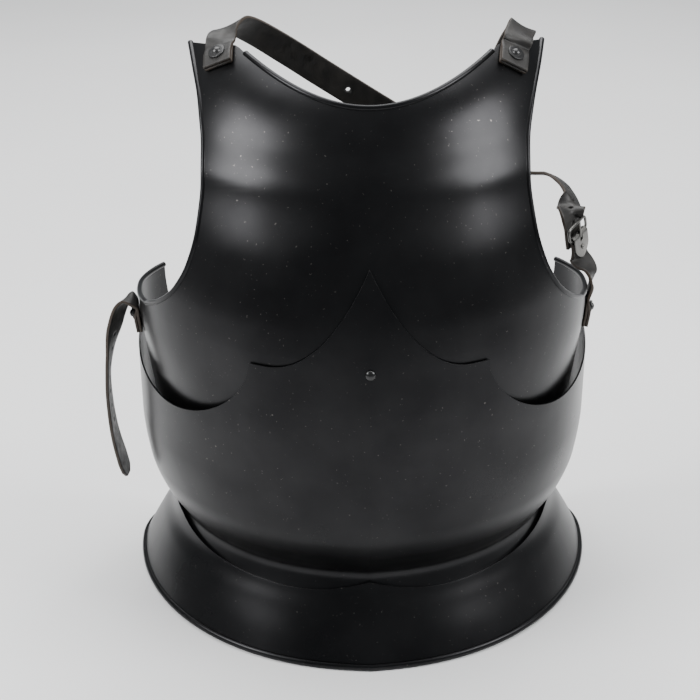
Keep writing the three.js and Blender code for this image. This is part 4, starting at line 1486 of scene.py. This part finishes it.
@dataclass
class Studio:
    """The floor, the lights and the camera."""

    azimuth: float = -2.0
    elevation: float = 26.0
    distance: float = 1.3
    target: Vector = field(default_factory=lambda: Vector((0.0104, 0.0125, 0.228)))
    lens: float = 75.97
    shift_x: float = -0.0209

    def light(self, name: str, place: Vector, aim: Vector, size: float, power: float) -> None:
        """Adds a soft square lamp."""
        data = bpy.data.lights.new(name, "AREA")
        data.shape = "SQUARE"
        data.size = size
        data.energy = power
        lamp = bpy.data.objects.new(name, data)
        lamp.location = place
        lamp.rotation_euler = (aim - place).to_track_quat("-Z", "Y").to_euler()
        bpy.context.scene.collection.objects.link(lamp)

    def floor(self) -> None:
        """Adds the plain pale floor."""
        mesh = bpy.data.meshes.new("floor")
        reach = 6.0
        corners = [(-reach, -reach, 0), (reach, -reach, 0), (reach, reach, 0), (-reach, reach, 0)]
        mesh.from_pydata(corners, [], [(0, 1, 2, 3)])
        floor = new_object("floor", mesh)
        paint = NodeMaterial("floor_paint")
        colour = paint.ramp(paint.noise(2, 2), (0.3, (0.8, 0.8, 0.8)), (0.7, (0.84, 0.84, 0.84)))
        paint.link(colour, paint.shader.inputs["Base Color"])
        paint.shader.inputs["Roughness"].default_value = 0.9
        floor.data.materials.append(paint.material)

    def build(self) -> None:
        """Sets the stage."""
        self.floor()
        world = bpy.data.worlds.new("studio")
        world.use_nodes = True
        background = world.node_tree.nodes["Background"]
        background.inputs["Color"].default_value = (0.9, 0.95, 1.0, 1.0)
        background.inputs["Strength"].default_value = 0.25
        bpy.context.scene.world = world
        centre = Vector((0.01, 0.0, 0.35))
        self.light("left_softbox", Vector((-1.3, -0.45, 1.3)), centre, 0.8, 30)
        self.light("right_softbox", Vector((1.3, -0.45, 1.3)), centre, 0.8, 26)
        self.light("top_softbox", Vector((0.0, 1.2, 2.4)), Vector((0, 0.6, 0)), 2.4, 110)
        a, e = math.radians(self.azimuth), math.radians(self.elevation)
        offset = Vector((math.sin(a) * math.cos(e), -math.cos(a) * math.cos(e), math.sin(e))) * self.distance
        camera = bpy.data.objects.new("camera", bpy.data.cameras.new("camera"))
        camera.data.lens = self.lens
        camera.data.shift_x = self.shift_x
        camera.location = self.target + offset
        camera.rotation_euler = (-offset).to_track_quat("-Z", "Y").to_euler()
        bpy.context.scene.collection.objects.link(camera)
        bpy.context.scene.camera = camera


def main() -> None:
    """Builds the breastplate over its frame."""
    logging.basicConfig(level=logging.INFO)
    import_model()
    Studio().build()
    dresser = Dresser()
    recipes = Recipes()
    ChestPlate(dresser, recipes).build()
    Plackart(dresser).build()
    Fauld(dresser).build()
    harness = Harness(dresser, recipes)
    harness.build()
    Rivets(dresser, recipes).build(harness.ends(), harness.chape_rivet())


if __name__ == "__main__":
    main()
